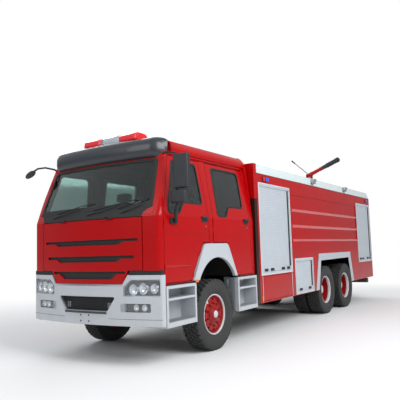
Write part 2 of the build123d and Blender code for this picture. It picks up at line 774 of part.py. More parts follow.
# Dashboard with the steering column
dash_rear = -960
wheel_x = 620
wheel_tilt = 35
wheel_centre = (wheel_x, station(-800), 1960)
column_axis = (0, math.sin(math.radians(wheel_tilt)), math.cos(math.radians(wheel_tilt)))
column_plane = Plane(origin=wheel_centre, x_dir=(1, 0, 0), z_dir=column_axis)
with BuildPart() as dashboard:
    with BuildSketch(side_plane(-1130)):
        add(outline(on_side([
            (-1290 + seat_gap, 1600), (-1000, 1600), (dash_rear, 1700), (dash_rear, 1860), (-1080, 1950),
            (-1290 + seat_gap, 1950),
        ])))
    extrude(amount=2260)
    with BuildSketch(column_plane.offset(-29 - seat_gap)):
        Circle(36)
    extrude(amount=-300)
write(dashboard, "dashboard")

with BuildPart() as steering_wheel:
    with BuildSketch(Plane(origin=wheel_centre, x_dir=(1, 0, 0), z_dir=Vector(*column_axis).cross(Vector(1, 0, 0)))):
        with Locations((225, 0)):
            Circle(15)
    revolve(axis=Axis(wheel_centre, column_axis))
    with BuildSketch(column_plane.offset(-29)):
        Circle(50)
    extrude(amount=34)
    with BuildSketch(column_plane.offset(-8)):
        with PolarLocations(118, 4, start_angle=45):
            Rectangle(200, 34)
    extrude(amount=14)
write(steering_wheel, "steering_wheel")


def locker_knuckles(side, moving):
    """Barrels on a locker flap's hinge line, with leaves up to the flap or down to the body."""
    low, high, floor, ceiling = flap_bay_size
    upright = Align.MIN if moving else Align.MAX
    for place in (low + 250, high - 250):
        y = station(place) + (hinge_piece + seat_gap if moving else 0)
        with Locations(Plane(origin=(side * locker_hinge_x, y, floor + locker_hinge_lift), z_dir=(0, 1, 0))):
            Cylinder(hinge_radius, hinge_piece)
        with Locations((side * (locker_hinge_x - hinge_offset), y, floor + locker_hinge_lift)):
            Box(2 * hinge_offset, hinge_piece, 20, align=(Align.CENTER, Align.CENTER, upright))


# Body: closed lockers and tank over the frame, a hoop in front, and the rear arch cut right through
rear_arch_opening = [(3960, 520), (4175, arch_top), (6320, arch_top), (6535, 520)]
rear_locker_bottom = 590
shutter_bays = ((1370, 2690, 1030, 2630), (2840, 3780, 575, 1250), (7110, 8330, 1050, 2600))
back_bay = (700, 950, 2560)
flap_bay_size = (1400, 2660, 575, 1000)
flap_clear = 6
locker_hinge_x = body_half_width + hinge_offset
locker_hinge_lift = 3
panel_zone = (2740, 7060, 1620, 2530)
panel_depth = 14
bead_heights = (1905, 2220)
bead_width = 46
tunnel_x = 470
with BuildPart() as body_shell:
    with BuildSketch(cross_plane(station(body_rear))):
        with Locations((0, (body_bottom + body_top) / 2)):
            Rectangle(2 * body_half_width, body_top - body_bottom)
        with Locations((0, (body_bottom + rail_top) / 2)):
            Rectangle(2 * tunnel_x, rail_top - body_bottom + 2 * seat_gap, mode=Mode.SUBTRACT)
    extrude(amount=body_rear - body_front)
    with BuildSketch(cross_plane(station(body_front))):
        with Locations((0, (body_bottom + bulkhead_top) / 2)):
            Rectangle(2 * body_half_width, bulkhead_top - body_bottom)
        with Locations((0, (body_bottom + rail_top) / 2)):
            Rectangle(2 * tunnel_x, rail_top - body_bottom + 2 * seat_gap, mode=Mode.SUBTRACT)
    extrude(amount=body_front - bulkhead_front)
    with BuildSketch(side_plane(-body_half_width - 50)) as arch_cut:
        add(outline(on_side(rear_arch_opening)))
        with Locations((station(7600), rear_locker_bottom - 200)):
            Rectangle(2400, 400)
    extrude(amount=2 * body_half_width + 100, mode=Mode.SUBTRACT)
    for side in sides.values():
        for low, high, floor, ceiling in shutter_bays + (flap_bay_size,):
            with Locations((side * body_half_width, station((low + high) / 2), (floor + ceiling) / 2)):
                Box(2 * recess_depth, high - low, ceiling - floor, mode=Mode.SUBTRACT)
        low, high, floor, ceiling = panel_zone
        with Locations((side * body_half_width, station((low + high) / 2), (floor + ceiling) / 2)):
            Box(2 * panel_depth, high - low, ceiling - floor, mode=Mode.SUBTRACT)
        for height in bead_heights:
            with BuildSketch(cross_plane(station(high))):
                root = side * (body_half_width - panel_depth - 1)
                add(outline([
                    (root, height - bead_width / 2), (side * (body_half_width - 2), height - 6),
                    (side * (body_half_width - 2), height + 6), (root, height + bead_width / 2),
                ]))
            extrude(amount=high - low)
        locker_knuckles(side, moving=False)
    half, floor, ceiling = back_bay
    with Locations((0, station(body_rear), (floor + ceiling) / 2)):
        Box(2 * half, 2 * recess_depth, ceiling - floor, mode=Mode.SUBTRACT)
write(body_shell, "body_shell")

# Roof boards around the deck, cut back on a slant at the rear
with BuildPart() as roof_rails:
    deck_front = station(body_front) + seat_gap
    deck_length = body_rear - body_front - seat_gap
    with BuildSketch(Plane.XY.offset(body_top)):
        with Locations((0, deck_front + deck_length / 2)):
            Rectangle(2 * body_half_width - 4, deck_length)
            Rectangle(2 * (body_half_width - rail_board) - 4, deck_length - 2 * rail_board, mode=Mode.SUBTRACT)
    extrude(amount=rail_board_height)
    with BuildSketch(side_plane(-body_half_width - 50)):
        add(outline([
            (station(8395), body_top), (station(8180), body_top + rail_board_height + 1),
            (station(8500), body_top + rail_board_height + 1), (station(8500), body_top),
        ]))
    extrude(amount=2 * body_half_width + 100, mode=Mode.SUBTRACT)
write(roof_rails, "roof_rails")

# Roller shutters: a guide frame round each bay and a curtain of slats
guide = 42
slat_pitch = 40
curtain_thickness = 14


def curtain_profile(depth, floor, ceiling):
    """Section of a curtain as points of depth and height, with a groove at every slat."""
    count = int((ceiling - floor) // slat_pitch)
    front = []
    for index in range(1, count):
        height = floor + index * (ceiling - floor) / count
        front += [(depth, height - 3), (depth - 4, height), (depth, height + 3)]
    return [(depth - curtain_thickness, floor), (depth, floor)] + front + [
        (depth, ceiling), (depth - curtain_thickness, ceiling)]


with BuildPart() as shutter_frames:
    for side in sides.values():
        for low, high, floor, ceiling in shutter_bays:
            inner_face = side * (body_half_width - recess_depth + seat_gap)
            with BuildSketch(side_plane(inner_face)):
                with Locations((station((low + high) / 2), (floor + ceiling) / 2)):
                    Rectangle(high - low - 2 * seat_gap, ceiling - floor - 2 * seat_gap)
                    Rectangle(high - low - 2 * guide, ceiling - floor - 2 * guide, mode=Mode.SUBTRACT)
            extrude(amount=side * (recess_depth - 2))
    half, floor, ceiling = back_bay
    with BuildSketch(cross_plane(station(body_rear) - recess_depth + seat_gap)):
        with Locations((0, (floor + ceiling) / 2)):
            Rectangle(2 * (half - seat_gap), ceiling - floor - 2 * seat_gap)
            Rectangle(2 * (half - guide), ceiling - floor - 2 * guide, mode=Mode.SUBTRACT)
    extrude(amount=-(recess_depth - 2))
write(shutter_frames, "shutter_frames")

with BuildPart() as shutters:
    curtain_x = body_half_width - 20
    for side in sides.values():
        for low, high, floor, ceiling in shutter_bays:
            points = curtain_profile(curtain_x, floor + guide + seat_gap, ceiling - guide - seat_gap)
            with BuildSketch(cross_plane(station(high) - guide - seat_gap)):
                add(outline([(side * x, z) for x, z in points]))
            extrude(amount=high - low - 2 * guide - 2 * seat_gap)
    half, floor, ceiling = back_bay
    points = curtain_profile(station(body_rear) - 20, floor + guide + seat_gap, ceiling - guide - seat_gap)
    with BuildSketch(side_plane(-half + guide + seat_gap)):
        add(outline(points))
    extrude(amount=2 * (half - guide - seat_gap))
write(shutters, "shutters")

# Fold-down flaps below the front shutters, each hinged along its lower edge
for side_name, side in sides.items():
    low, high, floor, ceiling = flap_bay_size
    with BuildPart() as locker_flap:
        with Locations((side * (body_half_width - 19), station((low + high) / 2), (floor + ceiling) / 2)):
            Box(34, high - low - 2 * flap_clear, ceiling - floor - 2 * flap_clear)
        locker_knuckles(side, moving=True)
    write(locker_flap, f"locker_flap_{side_name}")

# Rear wheel arch trims
rear_trim_outer = [(3900, 553), (4150, 1330), (6350, 1330), (6565, 595)]
rear_trim_inner = [(4068, 500), (4262, 1180), (6200, 1195), (6400, 500)]
with BuildPart() as rear_arches:
    for side in sides.values():
        with BuildSketch(side_plane(side * (body_half_width + seat_gap))):
            add(outline(on_side(rear_trim_outer)))
            add(outline(on_side(rear_trim_inner)), mode=Mode.SUBTRACT)
        extrude(amount=side * 8)
write(rear_arches, "rear_arches")

# Lamps on the body: side flashers, roof floodlights, markers and tail lamps
with BuildPart() as body_lamps:
    for side in sides.values():
        for place in (1650, 8080):
            with Locations((side * (body_half_width + seat_gap + 9), station(place), 2715)):
                Box(18, 240 if place < 4000 else 150, 85)
        for place in (3810, 5970):
            with Locations((side * (body_half_width - 75), station(place), body_top + rail_board_height + 70)):
                Box(120, 150, 130)
            with Locations((side * (body_half_width - 2 - rail_board / 2), station(place), body_top + rail_board_height)):
                Box(rail_board - 4, 60, 20, align=(Align.CENTER, Align.CENTER, Align.MIN))
        with Locations((side * (body_half_width - 130), station(body_rear) + seat_gap, 1150)):
            Box(110, 30, 420, align=(Align.CENTER, Align.MIN, Align.MIN))
write(body_lamps, "body_lamps")

# Ladder up the back of the body
ladder_x = -950
ladder_width = 400
ladder_reach = 118
rung_pitch = 300
with BuildPart() as ladder:
    stile_y = station(body_rear) + ladder_reach - 16
    for x in (ladder_x - ladder_width / 2, ladder_x + ladder_width / 2):
        with Locations((x, stile_y, 640)):
            Cylinder(16, 2100, align=(Align.CENTER, Align.CENTER, Align.MIN))
        for z in (760, 1700, 2640):
            with Locations((x, station(body_rear) + seat_gap, z)):
                Box(22, ladder_reach - 16, 22, align=(Align.CENTER, Align.MIN, Align.CENTER))
    for index in range(7):
        with Locations(Plane(origin=(ladder_x, stile_y, 740 + index * rung_pitch), z_dir=(1, 0, 0))):
            Cylinder(12, ladder_width)
write(ladder, "ladder")

# Roof monitor: pedestal, turning elbow and barrel
monitor_y = station(7090)
turntable_z = 3390
monitor_pivot_z = 3495
monitor_heading = 25
monitor_lift = 28
tiller_lift = 30
with BuildPart() as monitor_base:
    with BuildSketch(Plane.XY.offset(body_top)):
        with Locations((0, monitor_y)):
            Circle(170)
    extrude(amount=30)
    with BuildSketch(Plane.XY.offset(body_top + 30)):
        with Locations((0, monitor_y)):
            Circle(60)
    extrude(amount=turntable_z - body_top - 60)
    with BuildSketch(Plane.XY.offset(turntable_z - 30)):
        with Locations((0, monitor_y)):
            Circle(95)
    extrude(amount=30)
write(monitor_base, "monitor_base")

heading = math.radians(monitor_heading)
lift = math.radians(monitor_lift)
level = Vector(math.sin(heading), math.cos(heading), 0)
across = Vector(math.cos(heading), -math.sin(heading), 0)
barrel_axis = level * math.cos(lift) + Vector(0, 0, math.sin(lift))
pivot = Vector(0, monitor_y, monitor_pivot_z)
fork_half = 95
fork_plate = 22
with BuildPart() as monitor_body:
    with BuildSketch(Plane.XY.offset(turntable_z + seat_gap)):
        with Locations((0, monitor_y)):
            Circle(85)
    extrude(amount=16)
    for hand in (-1, 1):
        centre = pivot + across * (hand * (fork_half - fork_plate / 2))
        with BuildSketch(Plane(origin=centre - across * (fork_plate / 2), x_dir=level, z_dir=across)):
            with Locations((0, -44)):
                Rectangle(80, 84)
            Circle(40)
        extrude(amount=fork_plate)
    with Locations(Plane(origin=pivot - Vector(0, 0, 82), x_dir=across, z_dir=(0, 0, 1))):
        Box(2 * fork_half, 80, 16)
write(monitor_body, "monitor_body")

barrel_length = 1300
with BuildPart() as monitor_barrel:
    with BuildSketch(Plane(origin=pivot - across * (fork_half - fork_plate - running_gap), x_dir=level, z_dir=across)):
        Circle(38)
    extrude(amount=2 * (fork_half - fork_plate - running_gap))
    with BuildSketch(Plane(origin=pivot, x_dir=across, z_dir=barrel_axis)):
        Circle(36)
    extrude(amount=520)
    with BuildSketch(Plane(origin=pivot + barrel_axis * 519, x_dir=across, z_dir=barrel_axis)):
        Circle(38)
    with BuildSketch(Plane(origin=pivot + barrel_axis * 760, x_dir=across, z_dir=barrel_axis)):
        Circle(62)
    loft()
    with BuildSketch(Plane(origin=pivot + barrel_axis * 759, x_dir=across, z_dir=barrel_axis)):
        Circle(62)
    extrude(amount=barrel_length - 760)
    tiller_axis = Vector(0, 0, math.sin(math.radians(tiller_lift))) - level * math.cos(math.radians(tiller_lift))
    with BuildSketch(Plane(origin=pivot, x_dir=across, z_dir=tiller_axis)):
        Circle(11)
    extrude(amount=720)
    with BuildSketch(Plane(origin=pivot + tiller_axis * 600, x_dir=across, z_dir=tiller_axis)):
        Circle(17)
    extrude(amount=130)
write(monitor_barrel, "monitor_barrel")


# Tyres and wheels
def tyre_section(middle):
    half = tyre_width / 2
    bead = rim_half_width - 12
    return [
        (middle - bead, rim_seat_radius + seat_gap), (middle + bead, rim_seat_radius + seat_gap),
        (middle + bead, rim_lip_radius + 4), (middle + half, rim_lip_radius + 105),
        (middle + half - 8, tyre_radius - 24), (middle + tread_width / 2, tyre_radius),
        (middle - tread_width / 2, tyre_radius), (middle - half + 8, tyre_radius - 24),
        (middle - half, rim_lip_radius + 105), (middle - bead, rim_lip_radius + 4),
    ]


def rim_section(middle, side, disc):
    """Rim barrel with its disc. Disc points run inward from the barrel and back."""
    lip = rim_half_width
    drop = rim_seat_radius - rim_wall
    outer = [(-lip, rim_lip_radius), (-lip + 11, rim_lip_radius), (-lip + 12, rim_seat_radius),
             (lip - 12, rim_seat_radius), (lip - 11, rim_lip_radius), (lip, rim_lip_radius)]
    inner = [(lip, rim_lip_radius - rim_wall), (lip - 4, drop)] + disc + [(4 - lip, drop), (-lip, rim_lip_radius - rim_wall)]
    return [(side * (middle + x), radius) for x, radius in outer + inner]


hub_bore = spindle_radius + running_gap
for side_name, side in sides.items():
    with BuildPart() as tyre:
        turn([(side * x, r) for x, r in tyre_section(front_tyre_x)], front_axle_y, axle_z)
    write(tyre, f"tyre_front_{side_name}")
    with BuildPart() as wheel:
        disc = [(62, 276), (84, 232), (86, 130), (76, 130), (74, 228), (50, 276)]
        turn(rim_section(front_tyre_x, side, disc), front_axle_y, axle_z)
        hub_points = [(-80, hub_bore), (-80, 110), (40, 110), (60, 200), (73.7, 200), (73.7, 129), (87, 129),
                      (87, 95), (116, 88), (116, 0), (84, 0), (84, hub_bore)]
        turn([(side * (front_tyre_x + x), r) for x, r in hub_points], front_axle_y, axle_z)
    write(wheel, f"wheel_front_{side_name}")
    with BuildPart() as knuckle:
        fork_gap = axle_boss_height / 2 + 0.5
        with Locations((side * kingpin_x, front_axle_y, axle_z)):
            Cylinder(kingpin_radius, 2 * (fork_gap + fork_arm))
        for direction in (-1, 1):
            with Locations((side * (kingpin_x + 15), front_axle_y, axle_z + direction * (fork_gap + fork_arm / 2))):
                Box(110, 100, fork_arm)
        with Locations((side * (kingpin_x + 70), front_axle_y, axle_z)):
            Box(16, 100, 2 * (fork_gap + fork_arm))
        with Locations(Plane(origin=(side * (kingpin_x + 70), front_axle_y, axle_z), z_dir=(side, 0, 0))):
            Cylinder(spindle_radius, front_tyre_x + 80 - kingpin_x - 70, align=(Align.CENTER, Align.CENTER, Align.MIN))
    write(knuckle, f"knuckle_{side_name}")

rear_bore = rear_spindle_radius + running_gap
for number, y in enumerate(rear_axle_ys, start=1):
    for side_name, side in sides.items():
        with BuildPart() as tyres:
            for middle in (twin_middle_x - twin_spacing / 2, twin_middle_x + twin_spacing / 2):
                turn([(side * x, r) for x, r in tyre_section(middle)], y, axle_z)
        write(tyres, f"tyres_rear_{number}_{side_name}")
        with BuildPart() as wheels:
            for hand in (-1, 1):
                middle = twin_spacing / 2
                disc = [(-60, 276), (10.3 - middle, 240), (10.3 - middle, 140), (0.3 - middle, 140),
                        (0.3 - middle, 244), (-72, 276)]
                points = rim_section(0, 1, disc)
                turn([(side * (twin_middle_x + hand * (middle + x)), r) for x, r in points], y, axle_z)
            hub_points = [(-200, rear_bore), (-200, drum_radius), (-40, drum_radius), (-20, 190), (-10.6, 190),
                          (-10.6, 139), (60, 128), (150, 110), (150, 0), (125, 0), (125, rear_bore)]
            turn([(side * (twin_middle_x + x), r) for x, r in hub_points], y, axle_z)
        write(wheels, f"wheels_rear_{number}_{side_name}")
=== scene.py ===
import json
import logging
import math
from dataclasses import dataclass, replace
from enum import Enum
from typing import Callable, ClassVar, Sequence

import bmesh
import bpy
from mathutils import Matrix, Vector


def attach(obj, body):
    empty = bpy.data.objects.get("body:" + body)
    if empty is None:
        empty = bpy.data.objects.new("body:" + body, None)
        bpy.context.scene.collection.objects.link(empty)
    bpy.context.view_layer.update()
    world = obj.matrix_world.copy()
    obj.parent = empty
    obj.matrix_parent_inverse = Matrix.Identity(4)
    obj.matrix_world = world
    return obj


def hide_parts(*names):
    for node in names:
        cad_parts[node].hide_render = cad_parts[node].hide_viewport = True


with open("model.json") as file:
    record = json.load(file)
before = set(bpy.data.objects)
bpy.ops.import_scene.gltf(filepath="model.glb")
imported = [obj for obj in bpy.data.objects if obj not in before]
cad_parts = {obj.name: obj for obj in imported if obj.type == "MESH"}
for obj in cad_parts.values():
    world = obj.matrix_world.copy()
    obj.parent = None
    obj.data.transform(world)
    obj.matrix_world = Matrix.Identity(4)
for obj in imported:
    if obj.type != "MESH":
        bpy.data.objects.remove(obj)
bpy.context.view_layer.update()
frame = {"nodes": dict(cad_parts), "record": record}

log = logging.getLogger("fire_tender")

Point2 = tuple[float, float]
Point3 = tuple[float, float, float]
Zone = tuple[Point2, Point2, Point2, str]
Placer = Callable[[float, float, float], Point3]

# Places shared by the pieces, in metres, in the frame's own axes
FRONT_AXLE_Y = -3.475
AXLE_Z = 0.525
CAB_HALF = 1.215
CAB_BELT = 1.960
CAB_TOP_HALF = 1.085
CAB_RAIL = 2.830
SCREEN_RAKE = 0.385
SIDE_LEAN = (CAB_HALF - CAB_TOP_HALF) / (CAB_RAIL - CAB_BELT)
BODY_HALF = 1.250
BODY_REAR = 8.400
SIDES = {"left": 1, "right": -1}
VEHICLE = "vehicle"


def station(distance: float) -> float:
    """Y of a point that lies a distance behind the front axle."""
    return FRONT_AXLE_Y + distance


def bow(x: float, half: float, nose: float, corner: float) -> float:
    """Station of a bowed front at a distance from the centre.

    Args:
        x: Distance from the centre plane.
        half: Half of the bow's width.
        nose: Station at the centre.
        corner: Station at the end of the bow.

    Returns:
        The station of the bow's surface.
    """
    sag = corner - nose
    radius = (half * half + sag * sag) / (2 * sag)
    return nose + radius - math.sqrt(radius * radius - min(abs(x), half) ** 2)


def cab_side(side: int, distance: float, height: float, proud: float = 0.0) -> Point3:
    """Point on the cab's side at a station and a height."""
    half = CAB_HALF - SIDE_LEAN * max(0.0, height - CAB_BELT)
    return (side * (half + proud), station(distance), height)


def cab_front(x: float, height: float, proud: float = 0.0) -> Point3:
    """Point on the cab's front at a distance from the centre and a height."""
    lean = SCREEN_RAKE * max(0.0, height - CAB_BELT)
    return (x, station(bow(x, CAB_HALF, -1.545, -1.420)) + lean - proud, height)


def bumper_front(x: float, height: float, proud: float = 0.0) -> Point3:
    """Point on the bumper's front face."""
    return (x, station(bow(x, 1.235, -1.570, -1.400)) - proud, height)


def around(count: int) -> list[float]:
    """Angles of points set evenly round a circle."""
    return [2 * math.pi * k / count for k in range(count)]


def spread(half: float, parts: int) -> list[float]:
    """Places set evenly from one side of the centre to the other."""
    return [-half + 2 * half * k / parts for k in range(parts + 1)]


# Flat outlines


def rounded(points: Sequence[Point2], radius: float, steps: int = 5) -> list[Point2]:
    """Rounds the corners of an outline.

    Args:
        points: Corners in order.
        radius: Radius of each corner, cut down where a side is short.
        steps: Pieces of each arc.

    Returns:
        The rounded outline, with the same number of points at each corner.
    """
    result = []
    for index, corner in enumerate(points):
        here = Vector(corner)
        back = Vector(points[index - 1]) - here
        ahead = Vector(points[(index + 1) % len(points)]) - here
        half = back.angle(ahead) / 2
        cut = min(radius / math.tan(half), 0.45 * back.length, 0.45 * ahead.length)
        back, ahead = back.normalized(), ahead.normalized()
        centre = here + (back + ahead).normalized() * (cut / math.cos(half))
        first, last = here + back * cut - centre, here + ahead * cut - centre
        sweep = first.angle(last)
        for step in range(steps + 1):
            share = step / steps
            near, far = math.sin((1 - share) * sweep), math.sin(share * sweep)
            point = centre + (first * near + last * far) / math.sin(sweep)
            result.append((point.x, point.y))
    return result


def inset(points: Sequence[Point2], margin: float) -> list[Point2]:
    """Draws an outline inwards by a margin, with square corners."""
    area = sum(a[0] * b[1] - b[0] * a[1] for a, b in zip(points, [*points[1:], points[0]]))
    turn = 1 if area > 0 else -1
    result = []
    for index, corner in enumerate(points):
        here = Vector(corner)
        before = (here - Vector(points[index - 1])).normalized()
        after = (Vector(points[(index + 1) % len(points)]) - here).normalized()
        left, right = Vector((-before.y, before.x)) * turn, Vector((-after.y, after.x)) * turn
        move = (left + right) / (1 + left.dot(right))
        result.append(tuple(here + move * margin))
    return result


def rectangle(low: Point2, high: Point2) -> list[Point2]:
    """Corners of an upright rectangle."""
    return [low, (high[0], low[1]), high, (low[0], high[1])]


# Materials


def linear(code: str) -> tuple[float, float, float, float]:
    """Linear colour of an sRGB hex value such as 8A1015."""
    parts = [int(code[i:i + 2], 16) / 255 for i in (0, 2, 4)]
    return (*[c / 12.92 if c <= 0.04045 else ((c + 0.055) / 1.055) ** 2.4 for c in parts], 1.0)


def add_node(tree: bpy.types.NodeTree, kind: str, settings: dict | None = None,
             links: dict | None = None) -> bpy.types.Node:
    """Adds a node with its settings and links.

    Args:
        tree: Tree that takes the node.
        kind: Type name of the node.
        settings: Properties by name, and input values by name or number.
        links: Sockets that feed the inputs, by input name or number.

    Returns:
        The new node.
    """
    node = tree.nodes.new(kind)
    for key, value in (settings or {}).items():
        if isinstance(key, str) and hasattr(node, key):
            setattr(node, key, value)
        else:
            node.inputs[key].default_value = value
    for key, socket in (links or {}).items():
        tree.links.new(socket, node.inputs[key])
    return node


def work_out(tree: bpy.types.NodeTree, operation: str, first: bpy.types.NodeSocket,
             second: bpy.types.NodeSocket | float | None = None) -> bpy.types.NodeSocket:
    """Adds a sum to a tree.

    Args:
        tree: Tree that takes the node.
        operation: Name of the sum.
        first: Socket of the first value.
        second: Socket or number of the second value, where there is one.

    Returns:
        The socket with the result.
    """
    settings, links = {"operation": operation}, {0: first}
    if isinstance(second, bpy.types.NodeSocket):
        links[1] = second
    elif second is not None:
        settings[1] = second
    return add_node(tree, "ShaderNodeMath", settings, links).outputs[0]


def seen_directly(tree: bpy.types.NodeTree) -> bpy.types.NodeSocket:
    """Socket that is 1 for what the camera sees, itself or through glass."""
    rays = add_node(tree, "ShaderNodeLightPath").outputs
    return work_out(tree, "MAXIMUM", rays["Is Camera Ray"], rays["Is Transmission Ray"])


@dataclass(frozen=True)
class Finish:
    """One finish: two tones in patches, other colours in zones, road dust, fine relief and soft edges."""

    name: str
    tone: str
    patch: str
    roughness: float = 0.5
    metallic: float = 0.0
    ior: float = 1.5
    coat: float = 0.0
    patch_mm: float = 180.0
    grain_mm: float = 2.0
    relief: float = 0.05
    edge_mm: float = 1.5
    dust: float = 0.0
    glow: float = 0.0
    clear: float = 0.0
    opacity: float = 1.0
    zones: tuple[Zone, ...] = ()

    def material(self) -> bpy.types.Material:
        """The material for this finish, made once."""
        known = bpy.data.materials.get(self.name)
        if known:
            return known
        material = bpy.data.materials.new(self.name)
        material.use_nodes = True
        tree = material.node_tree
        shader = tree.nodes["Principled BSDF"]
        place = add_node(tree, "ShaderNodeTexCoord").outputs["Object"]
        patches = add_node(tree, "ShaderNodeTexNoise",
                           {"Scale": 1000 / self.patch_mm, "Detail": 4.0, "Roughness": 0.6},
                           {"Vector": place})
        tones = add_node(tree, "ShaderNodeMix",
                         {"data_type": "RGBA", 6: linear(self.tone), 7: linear(self.patch)},
                         {0: patches.outputs["Fac"]})
        colour = tones.outputs[2]
        if self.dust:
            colour = self.dusty(tree, place, patches.outputs["Fac"], colour)
        for zone in self.zones:
            colour = self.zoned(tree, place, colour, zone)
        tree.links.new(colour, shader.inputs["Base Color"])
        spread = add_node(tree, "ShaderNodeMapRange",
                          {3: max(0.0, self.roughness - 0.06), 4: min(1.0, self.roughness + 0.08)},
                          {0: patches.outputs["Fac"]})
        tree.links.new(spread.outputs[0], shader.inputs["Roughness"])
        shader.inputs["Metallic"].default_value = self.metallic
        if not self.metallic:
            shader.inputs["IOR"].default_value = self.ior
        shader.inputs["Coat Weight"].default_value = self.coat
        shader.inputs["Coat Roughness"].default_value = 0.04
        shader.inputs["Transmission Weight"].default_value = self.clear
        shader.inputs["Alpha"].default_value = self.opacity
        if self.glow:
            shader.inputs["Emission Color"].default_value = linear(self.tone)
            shader.inputs["Emission Strength"].default_value = self.glow
        self.add_relief(tree, shader, place)
        return material

    def dusty(self, tree: bpy.types.NodeTree, place: bpy.types.NodeSocket, patches: bpy.types.NodeSocket,
              colour: bpy.types.NodeSocket) -> bpy.types.NodeSocket:
        """Lays road dust over the colour, thick near the ground and gone by the cab floor.

        Args:
            tree: Tree of the material.
            place: Coordinates on the piece.
            patches: Noise that breaks up the dust.
            colour: Colour below the dust.

        Returns:
            The socket with the dusty colour.
        """
        height = add_node(tree, "ShaderNodeSeparateXYZ", links={0: place}).outputs["Z"]
        low = add_node(tree, "ShaderNodeMapRange", {1: 0.1, 2: 1.2, 3: self.dust, 4: 0.0},
                       {0: height}).outputs[0]
        share = work_out(tree, "MULTIPLY", low, patches)
        return add_node(tree, "ShaderNodeMix", {"data_type": "RGBA", 7: linear("8C8578")},
                        {0: share, 6: colour}).outputs[2]

    @staticmethod
    def zoned(tree: bpy.types.NodeTree, place: bpy.types.NodeSocket, colour: bpy.types.NodeSocket,
              zone: Zone) -> bpy.types.NodeSocket:
        """Lays another colour inside a block of space, on both sides of the centre plane.

        Args:
            tree: Tree of the material.
            place: Coordinates on the piece.
            colour: Colour outside the block.
            zone: Spans of |X|, Y and Z, and the colour's code.

        Returns:
            The socket with the colour laid in.
        """
        split = add_node(tree, "ShaderNodeSeparateXYZ", links={0: place}).outputs
        across = work_out(tree, "ABSOLUTE", split["X"])
        share = None
        for socket, (low, high) in zip((across, split["Y"], split["Z"]), zone):
            inside = work_out(tree, "MULTIPLY", work_out(tree, "GREATER_THAN", socket, low),
                              work_out(tree, "LESS_THAN", socket, high))
            share = inside if share is None else work_out(tree, "MULTIPLY", share, inside)
        return add_node(tree, "ShaderNodeMix", {"data_type": "RGBA", 7: linear(zone[3])},
                        {0: share, 6: colour}).outputs[2]

    def add_relief(self, tree: bpy.types.NodeTree, shader: bpy.types.Node,
                   place: bpy.types.NodeSocket) -> None:
        """Adds the surface's own fine relief, over edges softened by a small radius."""
        grain = add_node(tree, "ShaderNodeTexNoise", {"Scale": 1000 / self.grain_mm, "Detail": 2.0},
                         {"Vector": place})
        edges = add_node(tree, "ShaderNodeBevel", {"samples": 3, "Radius": self.edge_mm / 1000})
        bump = add_node(tree, "ShaderNodeBump", {"Strength": self.relief, "Distance": 0.001},
                        {"Height": grain.outputs["Fac"], "Normal": edges.outputs[0]})
        tree.links.new(bump.outputs[0], shader.inputs["Normal"])


# Two-pack vehicle enamel under clear lacquer: deep, mirror-like, with a trace of orange peel
RED = Finish("fire_red_enamel", "AC0206", "A00205", 0.22, ior=1.30, coat=0.10, patch_mm=700.0,
             grain_mm=9.0, relief=0.005, edge_mm=5.0, dust=0.08)
# The body's panels: the same enamel, black sealer in the arches, and painted shade in dark brown on the
# body's front wall and the side strip just behind the cab
BODY_RED = replace(RED, name="body_red_enamel", zones=(
    ((-1.0, BODY_HALF - 0.012), (station(1.00), station(8.30)), (0.30, 1.50), "161617"),
    # Painted shade: dark brown on the body's front wall and the side strip behind the cab
    ((-1.0, BODY_HALF + 0.020), (station(1.00), station(1.304)), (0.30, 2.35), "2A1311")))
# The cab's front: the same enamel, with black flap hinges
CAB_RED = replace(RED, name="cab_red_enamel", zones=(
    ((0.30, 0.52), (station(-1.80), station(-1.548)), (1.930, 2.000), "141414"),))
# The pressed beads: the same enamel, polished, in a lighter red that is a painted highlight of the sky on
# their upper slopes
BEAD_HIGHLIGHT_RED = replace(RED, name="bead_red_painted_highlight", tone="CC4145", patch="BE3539", coat=0.6)
# The same enamel on forged and pressed wheel parts: duller and dusty
WHEEL_RED = Finish("wheel_red_enamel", "A0080C", "7C060A", 0.34, ior=1.35, coat=0.1, grain_mm=4.0,
                   relief=0.08, edge_mm=2.0, dust=0.06)
# Silver-white enamel on bumper, arches and steps
SILVER = Finish("silver_white_enamel", "B8BDC2", "B0B5BB", 0.40, coat=0.25, grain_mm=6.0, relief=0.04,
                edge_mm=6.0, dust=0.25)
# Pale enamel on the roof boards
BOARD = Finish("pale_board_enamel", "CFDADA", "C6D2D3", 0.5, grain_mm=6.0, relief=0.05, edge_mm=2.0)
WHEEL_WHITE = Finish("wheel_white_enamel", "D8D9DC", "B9BBC0", 0.4, grain_mm=4.0, relief=0.1, edge_mm=2.0,
                     dust=0.35)
# Anodised slats and extruded guides: satin, faintly blue under the sky
SLAT = Finish("anodised_aluminium", "CDD4DA", "C0C8D0", 0.42, metallic=0.35, grain_mm=3.0, relief=0.05,
              edge_mm=1.0)
SLATE = Finish("slate_grey_enamel", "262A31", "20242A", 0.38, coat=0.3, grain_mm=5.0, relief=0.05,
               edge_mm=4.0)
# Moulded housings: fine spark-eroded grain that scatters the light
MOULDED = Finish("moulded_black_plastic", "24272D", "1D2025", 0.5, grain_mm=1.6, relief=0.25, edge_mm=2.0)
TRIM = Finish("black_trim_rubber", "141414", "1C1C1C", 0.6, grain_mm=2.0, relief=0.2, edge_mm=1.0)
DASH = Finish("grey_dash_plastic", "3B3D40", "34363A", 0.6, grain_mm=2.5, relief=0.3)
CHASSIS = Finish("chassis_black_paint", "1B1B1C", "2A2826", 0.55, grain_mm=5.0, relief=0.15, edge_mm=2.0,
                 dust=0.5)
TYRE = Finish("tyre_rubber", "262627", "323232", 0.8, patch_mm=90.0, grain_mm=3.0, relief=0.3, edge_mm=2.0,
              dust=0.55)
STEEL = Finish("bright_steel", "B9BCC0", "A4A8AD", 0.3, metallic=1.0, grain_mm=2.0, relief=0.05)
DARK_STEEL = Finish("dark_nut_steel", "5A5552", "3F3B39", 0.45, metallic=0.8, grain_mm=2.0, relief=0.15,
                    dust=0.3)
